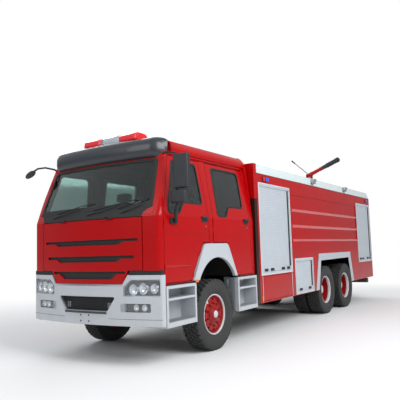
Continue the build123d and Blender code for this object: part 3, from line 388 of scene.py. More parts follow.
CHROME = Finish("reflector_chrome", "E6E8EB", "DDE0E4", 0.08, metallic=1.0, grain_mm=20.0, relief=0.0)
LENS = Finish("clear_lens_plastic", "F2F5F7", "E6EAEE", 0.05, ior=1.49, clear=0.95, grain_mm=8.0,
              relief=0.05)
RED_LENS = Finish("red_lens_plastic", "E0101C", "C80C18", 0.12, ior=1.49, coat=0.6, grain_mm=7.0,
                  relief=0.15, glow=0.15)
BLUE_LENS = Finish("blue_lens_plastic", "2E55C8", "2448B4", 0.15, ior=1.49, coat=0.6, grain_mm=7.0,
                   relief=0.15, glow=0.1)
AMBER = Finish("amber_lens_plastic", "E07A10", "C96808", 0.2, ior=1.49, coat=0.5, grain_mm=5.0, relief=0.2)
GLASS = Finish("tinted_safety_glass", "8FA39F", "8A9E9A", 0.02, ior=1.5, clear=1.0, patch_mm=900.0,
               relief=0.0)
CLOTH = Finish("seat_cloth", "2B2D33", "373A42", 0.9, patch_mm=14.0, grain_mm=1.2, relief=0.6)
DECK = Finish("deck_plate", "9FA5A8", "8B9194", 0.5, metallic=0.4, grain_mm=5.0, relief=0.2)


# Meshes


class Shape:
    """Collects closed forms in one mesh, then hands it over as a finished piece."""

    def __init__(self) -> None:
        """Starts an empty mesh."""
        self.mesh = bmesh.new()

    def skin(self, rings: Sequence[Sequence[Point3]], ends: bool = True, closed: bool = False) -> "Shape":
        """Joins rings of points into one surface.

        Args:
            rings: Closed rings with equal numbers of points.
            ends: Closes the first and the last ring with a face.
            closed: Joins the last ring to the first.

        Returns:
            This shape.
        """
        rows = [[self.mesh.verts.new(point) for point in ring] for ring in rings]
        pairs = list(zip(rows, rows[1:])) + ([(rows[-1], rows[0])] if closed else [])
        for low, high in pairs:
            for index in range(len(low)):
                after = (index + 1) % len(low)
                self.mesh.faces.new((low[index], low[after], high[after], high[index]))
        if ends and not closed:
            self.mesh.faces.new(list(reversed(rows[0])))
            self.mesh.faces.new(rows[-1])
        return self

    def box(self, low: Point3, high: Point3) -> "Shape":
        """Adds an upright block between two corners."""
        corners = rectangle((low[0], low[1]), (high[0], high[1]))
        return self.skin([[(x, y, z) for x, y in corners] for z in (low[2], high[2])])

    def plate(self, outline: Sequence[Point2], place: Placer, low: float, high: float) -> "Shape":
        """Adds a plate on a surface.

        Args:
            outline: Outline in the surface's own two directions.
            place: Turns the two directions and a height above the surface into a point.
            low: Height of the plate's back.
            high: Height of the plate's face.

        Returns:
            This shape.
        """
        return self.skin([[place(a, b, height) for a, b in outline] for height in (low, high)])

    def sweep(self, place: Placer, spots: Sequence[float], section: Sequence[Point2]) -> "Shape":
        """Sweeps a section across a surface.

        Args:
            place: Turns a spot, a height and a distance out into a point.
            spots: Places along the surface, in order.
            section: Heights and distances out, in a loop.

        Returns:
            This shape.
        """
        return self.skin([[place(x, z, h) for z, h in section] for x in spots])

    def frame(self, outer: Sequence[Point2], inner: Sequence[Point2], place: Placer,
              low: float, high: float) -> "Shape":
        """Adds a closed strip between two outlines with equal numbers of points."""
        rings = [(outer, low), (outer, high), (inner, high), (inner, low)]
        return self.skin([[place(a, b, height) for a, b in ring] for ring, height in rings], closed=True)

    def lathe(self, profile: Sequence[Point2], centre: Point3, side: int = 1, sides: int = 48) -> "Shape":
        """Turns a closed profile about an axle.

        Args:
            profile: Points of distance outwards along the axle and radius, in a closed loop.
            centre: Point on the axle.
            side: Direction outwards, 1 or -1.
            sides: Faces around the axle.

        Returns:
            This shape.
        """
        rings = []
        for index in range(sides):
            angle = 2 * math.pi * index / sides
            rings.append([(centre[0] + side * along, centre[1] + radius * math.cos(angle),
                           centre[2] + radius * math.sin(angle)) for along, radius in profile])
        return self.skin(rings, closed=True)

    def tube(self, path: Sequence[Point3], radius: float | Sequence[float], sides: int = 14) -> "Shape":
        """Adds a round bar along a path.

        Args:
            path: Points along the middle.
            radius: One radius, or one for each point.
            sides: Faces around the bar.

        Returns:
            This shape.
        """
        points = [Vector(point) for point in path]
        radii = [radius] * len(points) if isinstance(radius, (int, float)) else radius
        normal = (points[1] - points[0]).orthogonal().normalized()
        rings = []
        for index, point in enumerate(points):
            along = (points[min(index + 1, len(points) - 1)] - points[max(index - 1, 0)]).normalized()
            normal = (normal - along * normal.dot(along)).normalized()
            other = along.cross(normal)
            rings.append([tuple(point + radii[index] * (normal * math.cos(a) + other * math.sin(a)))
                          for a in around(sides)])
        return self.skin(rings)

    def object(self, name: str, smooth_deg: float = 40.0) -> bpy.types.Object:
        """Closes the mesh and links it as an object at the origin."""
        bmesh.ops.remove_doubles(self.mesh, verts=self.mesh.verts, dist=1e-5)
        bmesh.ops.dissolve_degenerate(self.mesh, edges=self.mesh.edges, dist=1e-6)
        bmesh.ops.recalc_face_normals(self.mesh, faces=self.mesh.faces)
        data = bpy.data.meshes.new(name)
        self.mesh.to_mesh(data)
        self.mesh.free()
        data.shade_smooth()
        data.set_sharp_from_angle(angle=math.radians(smooth_deg))
        piece = bpy.data.objects.new(name, data)
        bpy.context.scene.collection.objects.link(piece)
        return piece

    def piece(self, name: str, finish: Finish, body: str = VEHICLE, replaces: Sequence[str] = (),
              round_mm: float = 0.0, steps: int = 2, smooth_deg: float = 40.0) -> bpy.types.Object:
        """Hands the shape over as a finished piece.

        Args:
            name: Name of the piece.
            finish: Its finish.
            body: Body that it rides on.
            replaces: CAD nodes that it stands for.
            round_mm: Radius of its edges.
            steps: Pieces of each rounded edge.
            smooth_deg: Largest angle that is shaded smooth.

        Returns:
            The piece.
        """
        return settle(self.object(name, smooth_deg), finish, body, replaces, round_mm, steps)


def settle(piece: bpy.types.Object, finish: Finish, body: str = VEHICLE, replaces: Sequence[str] = (),
           round_mm: float = 0.0, steps: int = 2) -> bpy.types.Object:
    """Gives a piece its finish, its rounded edges and its body.

    Args:
        piece: Object at the origin.
        finish: Its finish.
        body: Body that it rides on.
        replaces: CAD nodes that it stands for.
        round_mm: Radius of its edges.
        steps: Pieces of each rounded edge.

    Returns:
        The piece.
    """
    piece.data.materials.clear()
    piece.data.materials.append(finish.material())
    if round_mm:
        bevel = piece.modifiers.new("edges", "BEVEL")
        bevel.width = round_mm / 1000
        bevel.segments = steps
        bevel.limit_method = "ANGLE"
        bevel.angle_limit = math.radians(32)
    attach(piece, body)
    if replaces:
        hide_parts(*replaces)
    log.info("%s rides on %s, %d faces", piece.name, body, len(piece.data.polygons))
    return piece


class Layout(Enum):
    """How a repeated shape is set out."""

    RING = "ring"
    GRID = "grid"


def pattern_tree(layout: Layout) -> bpy.types.NodeTree:
    """Builds the node tree that repeats a shape, once for each layout.

    Args:
        layout: Ring about the X axis, or a grid in X and Y.

    Returns:
        The tree, with its sizes as named inputs.
    """
    name = f"repeat_in_a_{layout.value}"
    if name in bpy.data.node_groups:
        return bpy.data.node_groups[name]
    tree = bpy.data.node_groups.new(name, "GeometryNodeTree")
    sockets = [("Shape", "NodeSocketObject"), ("Finish", "NodeSocketMaterial"), ("Count", "NodeSocketInt"),
               ("Rows", "NodeSocketInt"), ("Pitch", "NodeSocketFloat"), ("Row Pitch", "NodeSocketFloat")]
    for label, kind in sockets:
        tree.interface.new_socket(label, in_out="INPUT", socket_type=kind)
    tree.interface.new_socket("Mesh", in_out="OUTPUT", socket_type="NodeSocketGeometry")
    given = add_node(tree, "NodeGroupInput").outputs
    shape = add_node(tree, "GeometryNodeObjectInfo", links={"Object": given["Shape"]})
    if layout is Layout.RING:
        points = add_node(tree, "GeometryNodeMeshLine", {"Offset": (0, 0, 0)}, {"Count": given["Count"]})
        index = add_node(tree, "GeometryNodeInputIndex").outputs[0]
        angle = work_out(tree, "MULTIPLY", index, given["Pitch"])
        turn = add_node(tree, "ShaderNodeCombineXYZ", links={"X": angle})
        copies = add_node(tree, "GeometryNodeInstanceOnPoints", links={
            "Points": points.outputs[0], "Instance": shape.outputs["Geometry"],
            "Rotation": turn.outputs[0]})
    else:
        spans = [work_out(tree, "MULTIPLY", work_out(tree, "SUBTRACT", given[count], 1.0), given[pitch])
                 for count, pitch in (("Count", "Pitch"), ("Rows", "Row Pitch"))]
        grid = add_node(tree, "GeometryNodeMeshGrid", links={
            "Size X": spans[0], "Size Y": spans[1], "Vertices X": given["Count"],
            "Vertices Y": given["Rows"]})
        copies = add_node(tree, "GeometryNodeInstanceOnPoints", links={
            "Points": grid.outputs[0], "Instance": shape.outputs["Geometry"]})
    real = add_node(tree, "GeometryNodeRealizeInstances", links={0: copies.outputs[0]})
    dressed = add_node(tree, "GeometryNodeSetMaterial",
                       links={"Geometry": real.outputs[0], "Material": given["Finish"]})
    add_node(tree, "NodeGroupOutput", links={0: dressed.outputs[0]})
    return tree


def repeat(name: str, shape: Shape, finish: Finish, layout: Layout, count: int, pitch: float, rows: int = 1,
           row_pitch: float = 0.0) -> bpy.types.Mesh:
    """Repeats a shape with Geometry Nodes and returns the plain mesh.

    Args:
        name: Name of the mesh.
        shape: The shape to repeat, which is used up.
        finish: Finish of the copies.
        layout: Ring or grid.
        count: Copies around the ring or along X.
        pitch: Angle or distance between copies.
        rows: Copies along Y, for a grid.
        row_pitch: Distance between rows.

    Returns:
        The mesh of all copies.
    """
    single = shape.object(name + "_one")
    carrier = bpy.data.objects.new(name + "_carrier", bpy.data.meshes.new(name + "_carrier"))
    bpy.context.scene.collection.objects.link(carrier)
    tree = pattern_tree(layout)
    modifier = carrier.modifiers.new("repeat", "NODES")
    modifier.node_group = tree
    values = {"Shape": single, "Finish": finish.material(), "Count": count, "Rows": rows, "Pitch": pitch,
              "Row Pitch": row_pitch}
    for item in tree.interface.items_tree:
        if item.in_out == "INPUT":
            modifier[item.identifier] = values[item.name]
    depsgraph = bpy.context.evaluated_depsgraph_get()
    mesh = bpy.data.meshes.new_from_object(carrier.evaluated_get(depsgraph))
    mesh.name = name
    for spare in (carrier, single):
        bpy.data.objects.remove(spare)
    return mesh


def place_mesh(name: str, mesh: bpy.types.Mesh, move: Matrix, finish: Finish, body: str,
               replaces: Sequence[str] = ()) -> bpy.types.Object:
    """Sets a copy of a mesh in place as a piece, with its place in the mesh."""
    copy = mesh.copy()
    copy.transform(move)
    if move.determinant() < 0:
        copy.flip_normals()
    piece = bpy.data.objects.new(name, copy)
    bpy.context.scene.collection.objects.link(piece)
    return settle(piece, finish, body, replaces)


def hexagon(radius: float, low: float, high: float, centre: Point2 = (0.0, 0.0)) -> list[list[Point3]]:
    """Rings of a six-sided head along X, with its middle at a Y and a Z."""
    corners = [(centre[0] + radius * math.cos(a), centre[1] + radius * math.sin(a)) for a in around(6)]
    return [[(x, y, z) for y, z in corners] for x in (low, high)]


@dataclass
class Wheels:
    """Tyres with cut treads, and wheels with their nuts, holes and hubs."""

    tyre_radius: float = 0.525
    groove_depth: float = 0.019
    blocks: int = 38
    block_rows: tuple[float, ...] = (-0.108, -0.055, 0.0, 0.055, 0.108)
    nuts: int = 10
    nut_circle: float = 0.1675
    front_x: float = 1.010
    twin_x: float = 0.928
    twin_spacing: float = 0.335
    rear_ys: tuple[float, ...] = (1.125, 2.475)
    front_holes: Point2 = (0.222, 0.021)
    rear_holes: Point2 = (0.212, 0.022)
    front_nut_face: float = 0.088
    rear_nut_face: float = 0.0105
    cap_bolts: int = 8
    cap_face: float = 0.126
    bolt_circle: float = 0.072
    bolt_radius: float = 0.009

    front_lip: ClassVar[list[Point2]] = [
        (0.115, 0.300), (0.104, 0.3005), (0.102, 0.286), (0.060, 0.286), (0.060, 0.276),
        (0.100, 0.2765), (0.115, 0.289)]
    front_well: ClassVar[list[Point2]] = [
        (0.0605, 0.286), (-0.102, 0.286), (-0.104, 0.300), (-0.115, 0.300), (-0.115, 0.290),
        (-0.106, 0.276), (0.030, 0.272), (0.052, 0.262), (0.060, 0.254), (0.078, 0.262),
        (0.098, 0.2755), (0.0605, 0.2755)]
    front_disc: ClassVar[list[Point2]] = [
        (0.050, 0.263), (0.060, 0.2535), (0.079, 0.236), (0.088, 0.205), (0.088, 0.120),
        (0.076, 0.120), (0.076, 0.200), (0.068, 0.226), (0.046, 0.252)]
    front_hub: ClassVar[list[Point2]] = [
        (-0.08, 0.047), (-0.08, 0.12), (0.076, 0.125), (0.100, 0.124), (0.104, 0.118), (0.108, 0.100),
        (0.122, 0.094), (0.126, 0.088), (0.126, 0.05), (0.09, 0.047)]
    front_cap: ClassVar[list[Point2]] = [
        (0.10, 0.001), (0.10, 0.053), (0.132, 0.053), (0.140, 0.046), (0.143, 0.03), (0.144, 0.001)]
    rear_lip: ClassVar[list[Point2]] = [
        (0.115, 0.300), (0.104, 0.3005), (0.102, 0.286), (0.060, 0.286), (0.060, 0.276),
        (0.100, 0.2765), (0.115, 0.290)]
    rear_barrel: ClassVar[list[Point2]] = [
        (0.0605, 0.286), (-0.102, 0.286), (-0.104, 0.300), (-0.115, 0.300), (-0.115, 0.290),
        (-0.104, 0.276), (0.0605, 0.276)]
    rear_dish: ClassVar[list[Point2]] = [
        (0.088, 0.277), (0.070, 0.262), (0.030, 0.246), (0.0105, 0.225), (0.0105, 0.12),
        (-0.012, 0.12), (-0.012, 0.235), (0.02, 0.262), (0.062, 0.277)]
    rear_web: ClassVar[list[Point2]] = [
        (-0.088, 0.277), (-0.03, 0.246), (-0.012, 0.225), (-0.012, 0.12), (-0.03, 0.12),
        (-0.07, 0.262)]
    rear_hub: ClassVar[list[Point2]] = [
        (-0.2, 0.051), (-0.2, 0.2), (-0.04, 0.2), (-0.02, 0.14), (0.03, 0.136), (0.06, 0.126),
        (0.120, 0.118), (0.136, 0.108), (0.14, 0.08), (0.13, 0.051)]
    hub_end: ClassVar[list[Point2]] = [
        (0.12, 0.001), (0.12, 0.098), (0.172, 0.098), (0.184, 0.088), (0.189, 0.06), (0.190, 0.001)]

    def carcass(self, shape: Shape, centre: Point3) -> None:
        """Adds one tyre's carcass, with a bulged wall, a rim guard and a shoulder."""
        base = self.tyre_radius - self.groove_depth
        half = [(0.104, 0.2864), (0.106, 0.304), (0.121, 0.318), (0.126, 0.330), (0.139, 0.350),
                (0.1475, 0.385), (0.149, 0.415), (0.1465, 0.455), (0.142, 0.478), (0.1395, 0.482),
                (0.134, 0.500), (0.127, base), (0.06, base + 0.001)]
        profile = half + [(-x, r) for x, r in reversed(half)]
        shape.lathe(profile, centre, sides=96)

    def block(self) -> Shape:
        """One slice of the tread: five staggered blocks and the lugs on both shoulders."""
        shape = Shape()
        pitch = 2 * math.pi / self.blocks
        top, base = self.tyre_radius - 0.0006, self.tyre_radius - self.groove_depth - 0.002
        for index, x in enumerate(self.block_rows):
            outer = abs(x) > 0.1
            middle = 0.5 * pitch * (index % 2)
            half_x, share = (0.022, 0.40) if outer else (0.0225, 0.43)
            corners = []
            for r, grow in ((base, 1.0), (top, 0.92)):
                ring = []
                for sx, sa in ((-1, -1), (1, -1), (1, 1), (-1, 1)):
                    a = middle + sa * share * pitch * grow
                    skew = 0.004 * sa
                    ring.append((x + sx * half_x * grow + skew, -r * math.sin(a), r * math.cos(a)))
                corners.append(ring)
            shape.skin(corners)
            if outer:
                lug = []
                sign = math.copysign(1, x)
                for px, r in ((0.122, top), (0.1345, top - 0.006), (0.1435, 0.484), (0.138, 0.480),
                              (0.12, base)):
                    lug.append([(sign * px, -r * math.sin(middle + sa * 0.36 * pitch),
                                 r * math.cos(middle + sa * 0.36 * pitch)) for sa in (-1, 1)])
                shape.skin([[row[0] for row in lug], [row[1] for row in lug]])
        return shape

    def build_tyres(self) -> None:
        """Builds every tyre, with one mesh for each moving body."""
        tread = repeat("tread_ring", self.block(), TYRE, Layout.RING, self.blocks,
                       2 * math.pi / self.blocks)
        for side_name, side in SIDES.items():
            groups = [(f"front_wheel_{side_name}", f"tyre_front_{side_name}", FRONT_AXLE_Y,
                       [side * self.front_x])]
            for number, y in enumerate(self.rear_ys, start=1):
                xs = [side * (self.twin_x + hand * self.twin_spacing / 2) for hand in (-1, 1)]
                name = f"{number}_{side_name}"
                groups.append((f"rear_wheels_{name}", f"tyres_rear_{name}", y, xs))
            for body, node, y, xs in groups:
                shape = Shape()
                for x in xs:
                    self.carcass(shape, (x, y, AXLE_Z))
                shape.piece(f"carcass_{body}", TYRE, body, replaces=[node])
                for index, x in enumerate(xs):
                    move = Matrix.Translation((x, y, AXLE_Z))
                    place_mesh(f"tread_{body}_{index}", tread, move, TYRE, body)

    def nut(self) -> Shape:
        """One wheel nut with its stud end and washer, on the nut circle."""
        shape = Shape()
        shape.skin(hexagon(0.0185, 0.0, 0.022, (0.0, self.nut_circle)))
        shape.skin([[(x, 0.0105 * math.cos(a), self.nut_circle + 0.0105 * math.sin(a))
                     for a in around(10)] for x in (0.02, 0.034)])
        shape.skin([[(x, 0.023 * math.cos(a), self.nut_circle + 0.023 * math.sin(a))
                     for a in around(12)] for x in (-0.002, 0.004)])
        return shape

    def cut_holes(self, disc: bpy.types.Object, centre: Point3, circle: float, radius: float) -> None:
        """Cuts the ring of hand holes through a disc.

        Args:
            disc: The disc, with the axle through its middle.
            centre: Middle of the wheel.
            circle: Radius of the circle that the holes lie on.
            radius: Radius of one hole.
        """
        cutter = Shape()
        for index in range(self.nuts):
            angle = 2 * math.pi * (index + 0.5) / self.nuts
            y, z = centre[1] + circle * math.cos(angle), centre[2] + circle * math.sin(angle)
            cutter.tube([(centre[0] - 0.3, y, z), (centre[0] + 0.3, y, z)], radius, sides=16)
        tool = cutter.object("hole_cutter")
        cut = disc.modifiers.new("holes", "BOOLEAN")
        cut.object = tool
        cut.solver = "EXACT"
        depsgraph = bpy.context.evaluated_depsgraph_get()
        mesh = bpy.data.meshes.new_from_object(disc.evaluated_get(depsgraph))
        disc.modifiers.clear()
        disc.data = mesh
        bpy.data.objects.remove(tool)
        mesh.set_sharp_from_angle(angle=math.radians(35))

    def build_front(self) -> None:
        """Builds the front wheels: white rim, domed red disc, red hub and white cap."""
        nuts = repeat("front_nuts", self.nut(), WHEEL_RED, Layout.RING, self.nuts, 2 * math.pi / self.nuts)
        for side_name, side in SIDES.items():
            body = f"front_wheel_{side_name}"
            centre = (side * self.front_x, FRONT_AXLE_Y, AXLE_Z)
            Shape().lathe(self.front_lip, centre, side, 72).piece(
                f"rim_{body}", WHEEL_WHITE, body, replaces=[f"wheel_front_{side_name}"])
            Shape().lathe(self.front_well, centre, side, 72).piece(f"rim_well_{body}", WHEEL_RED, body)
            plate = Shape().lathe(self.front_disc, centre, side, 72).object(f"disc_{body}")
            self.cut_holes(plate, centre, *self.front_holes)
            settle(plate, WHEEL_RED, body)
            Shape().lathe(self.front_hub, centre, side, 48).piece(f"hub_{body}", WHEEL_RED, body)
            Shape().lathe(self.front_cap, centre, side, 32).piece(f"cap_{body}", WHEEL_WHITE, body)
            seat = Matrix.Translation((centre[0] + side * self.front_nut_face, centre[1], centre[2]))
            move = seat @ Matrix.Diagonal((side, 1, 1, 1))
            place_mesh(f"nuts_{body}", nuts, move, WHEEL_RED, body)
            bolts = Shape()
            x = centre[0] + side * self.cap_face
            for a in around(self.cap_bolts):
                y = centre[1] + self.bolt_circle * math.cos(a)
                z = centre[2] + self.bolt_circle * math.sin(a)
                head = hexagon(self.bolt_radius, -0.004, 0.008, (y, z))
                bolts.skin([[(x + side * dx, by, bz) for dx, by, bz in ring] for ring in head])
            bolts.piece(f"cap_bolts_{body}", WHEEL_RED, body)

    def build_rear(self) -> None:
        """Builds the rear twins: white lips, deep red dishes and white hub ends."""
        nuts = repeat("rear_nuts", self.nut(), DARK_STEEL, Layout.RING, self.nuts, 2 * math.pi / self.nuts)
        for side_name, side in SIDES.items():
            for number, y in enumerate(self.rear_ys, start=1):
                body = f"rear_wheels_{number}_{side_name}"
                white, red = Shape(), Shape()
                for hand in (-1, 1):
                    centre = (side * (self.twin_x + hand * self.twin_spacing / 2), y, AXLE_Z)
                    white.lathe([(hand * a, r) for a, r in self.rear_lip], centre, side, 72)
                    red.lathe([(hand * a, r) for a, r in self.rear_barrel], centre, side, 72)
                white.piece(f"lips_{body}", WHEEL_WHITE, body,
                            replaces=[f"wheels_rear_{number}_{side_name}"])
                hub_centre = (side * self.twin_x, y, AXLE_Z)
                plate = Shape().lathe(self.rear_dish, hub_centre, side, 72).object(f"dish_{body}")
                self.cut_holes(plate, hub_centre, *self.rear_holes)
                settle(plate, WHEEL_RED, body)
                red.lathe(self.rear_web, hub_centre, side, 48)
                red.lathe(self.rear_hub, hub_centre, side, 48)
                red.piece(f"barrels_{body}", WHEEL_RED, body)
                Shape().lathe(self.hub_end, hub_centre, side, 32).piece(f"hub_end_{body}", WHEEL_WHITE, body)
                seat = Matrix.Translation((hub_centre[0] + side * self.rear_nut_face, y, AXLE_Z))
                move = seat @ Matrix.Diagonal((side, 1, 1, 1))
                place_mesh(f"nuts_{body}", nuts, move, DARK_STEEL, body)

    def build(self) -> None:
        """Builds all tyres and wheels."""
        self.build_tyres()
        self.build_front()
        self.build_rear()


@dataclass
class Cab:
    """What the cab's panels carry: seals, handles, grille, visor, lamps, wipers and mirrors."""

    seal_width: float = 0.022
    handle_height: float = 1.935
    glass_corner: float = 0.060
    bar_half: float = 0.535
    bar_middle: float = 0.190
    bar_floor: float = 3.110
    bar_station: float = -0.910
    mirror_x: float = 1.430
    mirror_station: float = -1.200
    mirror_half: float = 0.1175
    mirror_depth: float = 0.045
    mirror_glass_half: float = 0.100
    look_down_head: Point3 = (-1.475, -1.300, 2.775)
    slot_rows: tuple[Point3, ...] = ((1.672, 0.890, 0.074), (1.450, 0.830, 0.082), (1.240, 0.690, 0.104))

    front_window: ClassVar[list[Point2]] = [(-1.240, 1.990), (-0.985, 2.755), (-0.385, 2.755),
                                            (-0.340, 2.150), (-0.830, 2.150), (-0.960, 1.990)]
    rear_window: ClassVar[list[Point2]] = [(0.030, 1.990), (0.030, 2.755), (0.870, 2.755), (0.880, 2.150),
                                           (0.420, 2.150), (0.300, 1.990)]
    windscreen: ClassVar[list[Point2]] = [(-1.080, 2.110), (1.080, 2.110), (1.010, 2.760), (-1.010, 2.760)]

    def build_seals(self) -> None:
        """Builds the rubber seals round the glass."""
        for side_name, side in SIDES.items():
            for end, window in (("front", self.front_window), ("rear", self.rear_window)):
                outer = rounded(inset(window, -0.006), self.glass_corner)
                inner = rounded(inset(window, self.seal_width), self.glass_corner)
                Shape().frame(outer, inner, lambda a, b, h: cab_side(side, a, b, h), -0.006, 0.003).piece(
                    f"seal_{end}_{side_name}", TRIM, f"{end}_door_{side_name}", round_mm=1.5)
        outer = self.fine(rounded(inset(self.windscreen, -0.010), self.glass_corner))
        inner = self.fine(rounded(inset(self.windscreen, 0.030), self.glass_corner))
        Shape().frame(outer, inner, cab_front, -0.006, 0.003).piece("windscreen_seal", TRIM, round_mm=1.5)

    @staticmethod
    def fine(points: Sequence[Point2], parts: int = 8) -> list[Point2]:
        """Divides every side of an outline, so that it can follow a bowed surface."""
        result = []
        for a, b in zip(points, [*points[1:], points[0]]):
            result += [(a[0] + (b[0] - a[0]) * k / parts, a[1] + (b[1] - a[1]) * k / parts)
                       for k in range(parts)]
        return result

    def build_handles(self) -> None:
        """Builds the door handles: a dark dished plate, a pull and the lock."""
        for side_name, side in SIDES.items():
            for end, middle in (("front", -0.345), ("rear", 0.915)):
                body = f"{end}_door_{side_name}"
                low, high = self.handle_height - 0.045, self.handle_height + 0.045
                back = rounded(rectangle((middle - 0.085, low), (middle + 0.085, high)), 0.02)
                Shape().plate(back, lambda a, b, h: cab_side(side, a, b, h), -0.002, 0.003).piece(
                    f"handle_dish_{body}", TRIM, body)
                pull = rounded(rectangle((middle - 0.08, high - 0.035), (middle + 0.08, high - 0.003)),
                               0.012)
                Shape().plate(pull, lambda a, b, h: cab_side(side, a, b, h), 0.003, 0.026).piece(
                    f"handle_pull_{body}", MOULDED, body, round_mm=6, steps=3)
                x, y, z = cab_side(side, middle + 0.03, low - 0.055)
                Shape().tube([(x - side * 0.001, y, z), (x + side * 0.004, y, z)], 0.012, 20).piece(
                    f"lock_{body}", STEEL, body)

    def build_grille(self) -> None:
        """Builds the dark insert behind the front slots, with its fine bars."""
        insert, bars, parts = Shape(), Shape(), 14
        for top, half, depth in self.slot_rows:
            above, below = top + 0.012, top - depth - 0.012
            insert.sweep(cab_front, spread(half + 0.01, parts),
                         ((above, -0.045), (above, -0.030), (below, -0.030), (below, -0.045)))
        insert.piece("grille_insert", TRIM, "cab_flap")
        for top, half, depth in self.slot_rows:
            for share in (0.3, 0.65):
                z = top - depth * share
                reach = half * (0.60 if share > 0.5 else 0.62)
                bars.tube([cab_front(x, z, -0.026) for x in spread(reach, parts)], 0.004, 8)
        bars.piece("grille_bars", MOULDED, "cab_flap")

    def build_visor(self) -> None:
        """Builds the visor above the windscreen: a curled sheet with a crease along it."""
        section = [(-1.165, 2.770), (-1.250, 2.786), (-1.283, 2.815), (-1.302, 2.870), (-1.300, 2.965),
                   (-1.262, 3.030), (-1.180, 3.078), (-1.090, 3.088), (-1.010, 3.064), (-1.060, 2.960),
                   (-1.120, 2.830)]
        rings = []
        half = 1.075
        for x in spread(half, 36):
            edge = max(0.0, (abs(x) - 0.90) / (half - 0.90))
            sink = 0.155 * edge ** 2.2
            drop = 0.055 * edge ** 2.5
            back = bow(x, CAB_HALF, 0.0, 0.125)
            rings.append([(x, station(min(-1.01, y + back + sink)), z - drop * (1 if z > 2.9 else 0.2))
                          for y, z in section])
        Shape().skin(rings).piece("visor_sheet", SLATE, replaces=["visor"], round_mm=4, smooth_deg=50)

    def build_light_bar(self) -> None:
        """Builds the light bar: base, two red domes and a clear middle with its reflectors."""
        y = station(self.bar_station)
        feet = Shape()
        for x in (-0.45, 0.45):
            feet.box((x - 0.05, y - 0.08, 3.040), (x + 0.05, y + 0.08, 3.090))
        feet.piece("light_bar_feet", TRIM, round_mm=3)
        Shape().box((-self.bar_half, y - 0.125, 3.082), (self.bar_half, y + 0.125, 3.112)).piece(
            "light_bar_base", MOULDED, replaces=["light_bar"], round_mm=8)
        seam = 0.005
        spans = (("dome_right", -self.bar_half, -self.bar_middle, RED_LENS),
                 ("dome_middle", -self.bar_middle + seam, self.bar_middle - seam, LENS),
                 ("dome_left", self.bar_middle, self.bar_half, RED_LENS))
        section = rounded([(-0.14, self.bar_floor), (0.14, self.bar_floor), (0.126, 3.205), (0.07, 3.236),
                           (-0.07, 3.236), (-0.126, 3.205)], 0.03)
        for name, low, high, finish in spans:
            rings = []
            for x, shrink in ((low, 0.90), (low + 0.012, 0.97), (low + 0.035, 1.0),
                              (high - 0.035, 1.0), (high - 0.012, 0.97), (high, 0.90)):
                rings.append([(x, y + a * shrink, self.bar_floor + (b - self.bar_floor) * shrink)
                              for a, b in section])
            Shape().skin(rings).piece(f"light_bar_{name}", finish, round_mm=2)
        core = Shape().box((-0.15, y - 0.08, 3.113), (0.15, y + 0.08, 3.195))
        core.piece("light_bar_core", SLAT, round_mm=10)

    def build_wipers(self) -> None:
        """Builds the wipers that rest on the lower edge of the windscreen."""
        arms, blades = Shape(), Shape()
        for pivot, tip, low, high in ((-0.72, -0.16, -0.62, 0.10), (0.02, 0.56, 0.12, 0.86),
                                      (0.62, 0.95, 0.55, 1.0)):
            arms.tube([cab_front(pivot, 2.03, 0.010), cab_front((pivot + tip) / 2, 2.07, 0.030),
                       cab_front(tip, 2.14, 0.028)], [0.011, 0.007, 0.005], 10)
            arms.tube([cab_front(pivot, 2.03, -0.01), cab_front(pivot, 2.03, 0.016)], 0.016, 16)
            blades.tube([cab_front(low, 2.085, 0.016), cab_front((low + high) / 2, 2.14, 0.020),
                         cab_front(high, 2.20, 0.016)], 0.006, 8)
        arms.piece("wiper_arms", MOULDED)
        blades.piece("wiper_blades", TRIM)

    def build_trim(self) -> None:
        """Builds the cab's small outer parts: creases, seams, sill strips and amber lamps."""
        sill, lamps = Shape(), Shape()
        for side_name, side in SIDES.items():
            crease = Shape()
            crease.skin([[cab_side(side, at, z, h)
                          for z, h in ((1.262, -0.002), (1.274, 0.014), (1.280, 0.015), (top, -0.002))]
                         for at, top in ((-1.328, 1.312), (-1.05, 1.304), (-0.765, 1.290))])
            crease.piece(f"crease_{side_name}", RED, f"front_door_{side_name}", round_mm=2)
            seam = Shape()
            seam.plate(rectangle((-1.325, 1.722), (-0.24, 1.728)), lambda a, b, h: cab_side(side, a, b, h),
                       -0.001, 0.0008)
            seam.piece(f"door_seam_{side_name}", TRIM, f"front_door_{side_name}")
            sill.box((side * 1.16, station(-1.33), 1.043), (side * 1.20, station(-0.70), 1.064))
            sill.box((side * 1.16, station(0.56), 1.043), (side * 1.20, station(1.15), 1.064))
            lamp = rounded(rectangle((-0.675, 1.045), (-0.595, 1.080)), 0.012)
            lamps.plate(lamp, lambda a, b, h: (side * (1.240 + h), station(a), b), 0.0, 0.014)
        sill.piece("sill_strips", TRIM)
        lamps.piece("arch_marker_lamps", AMBER, round_mm=3)

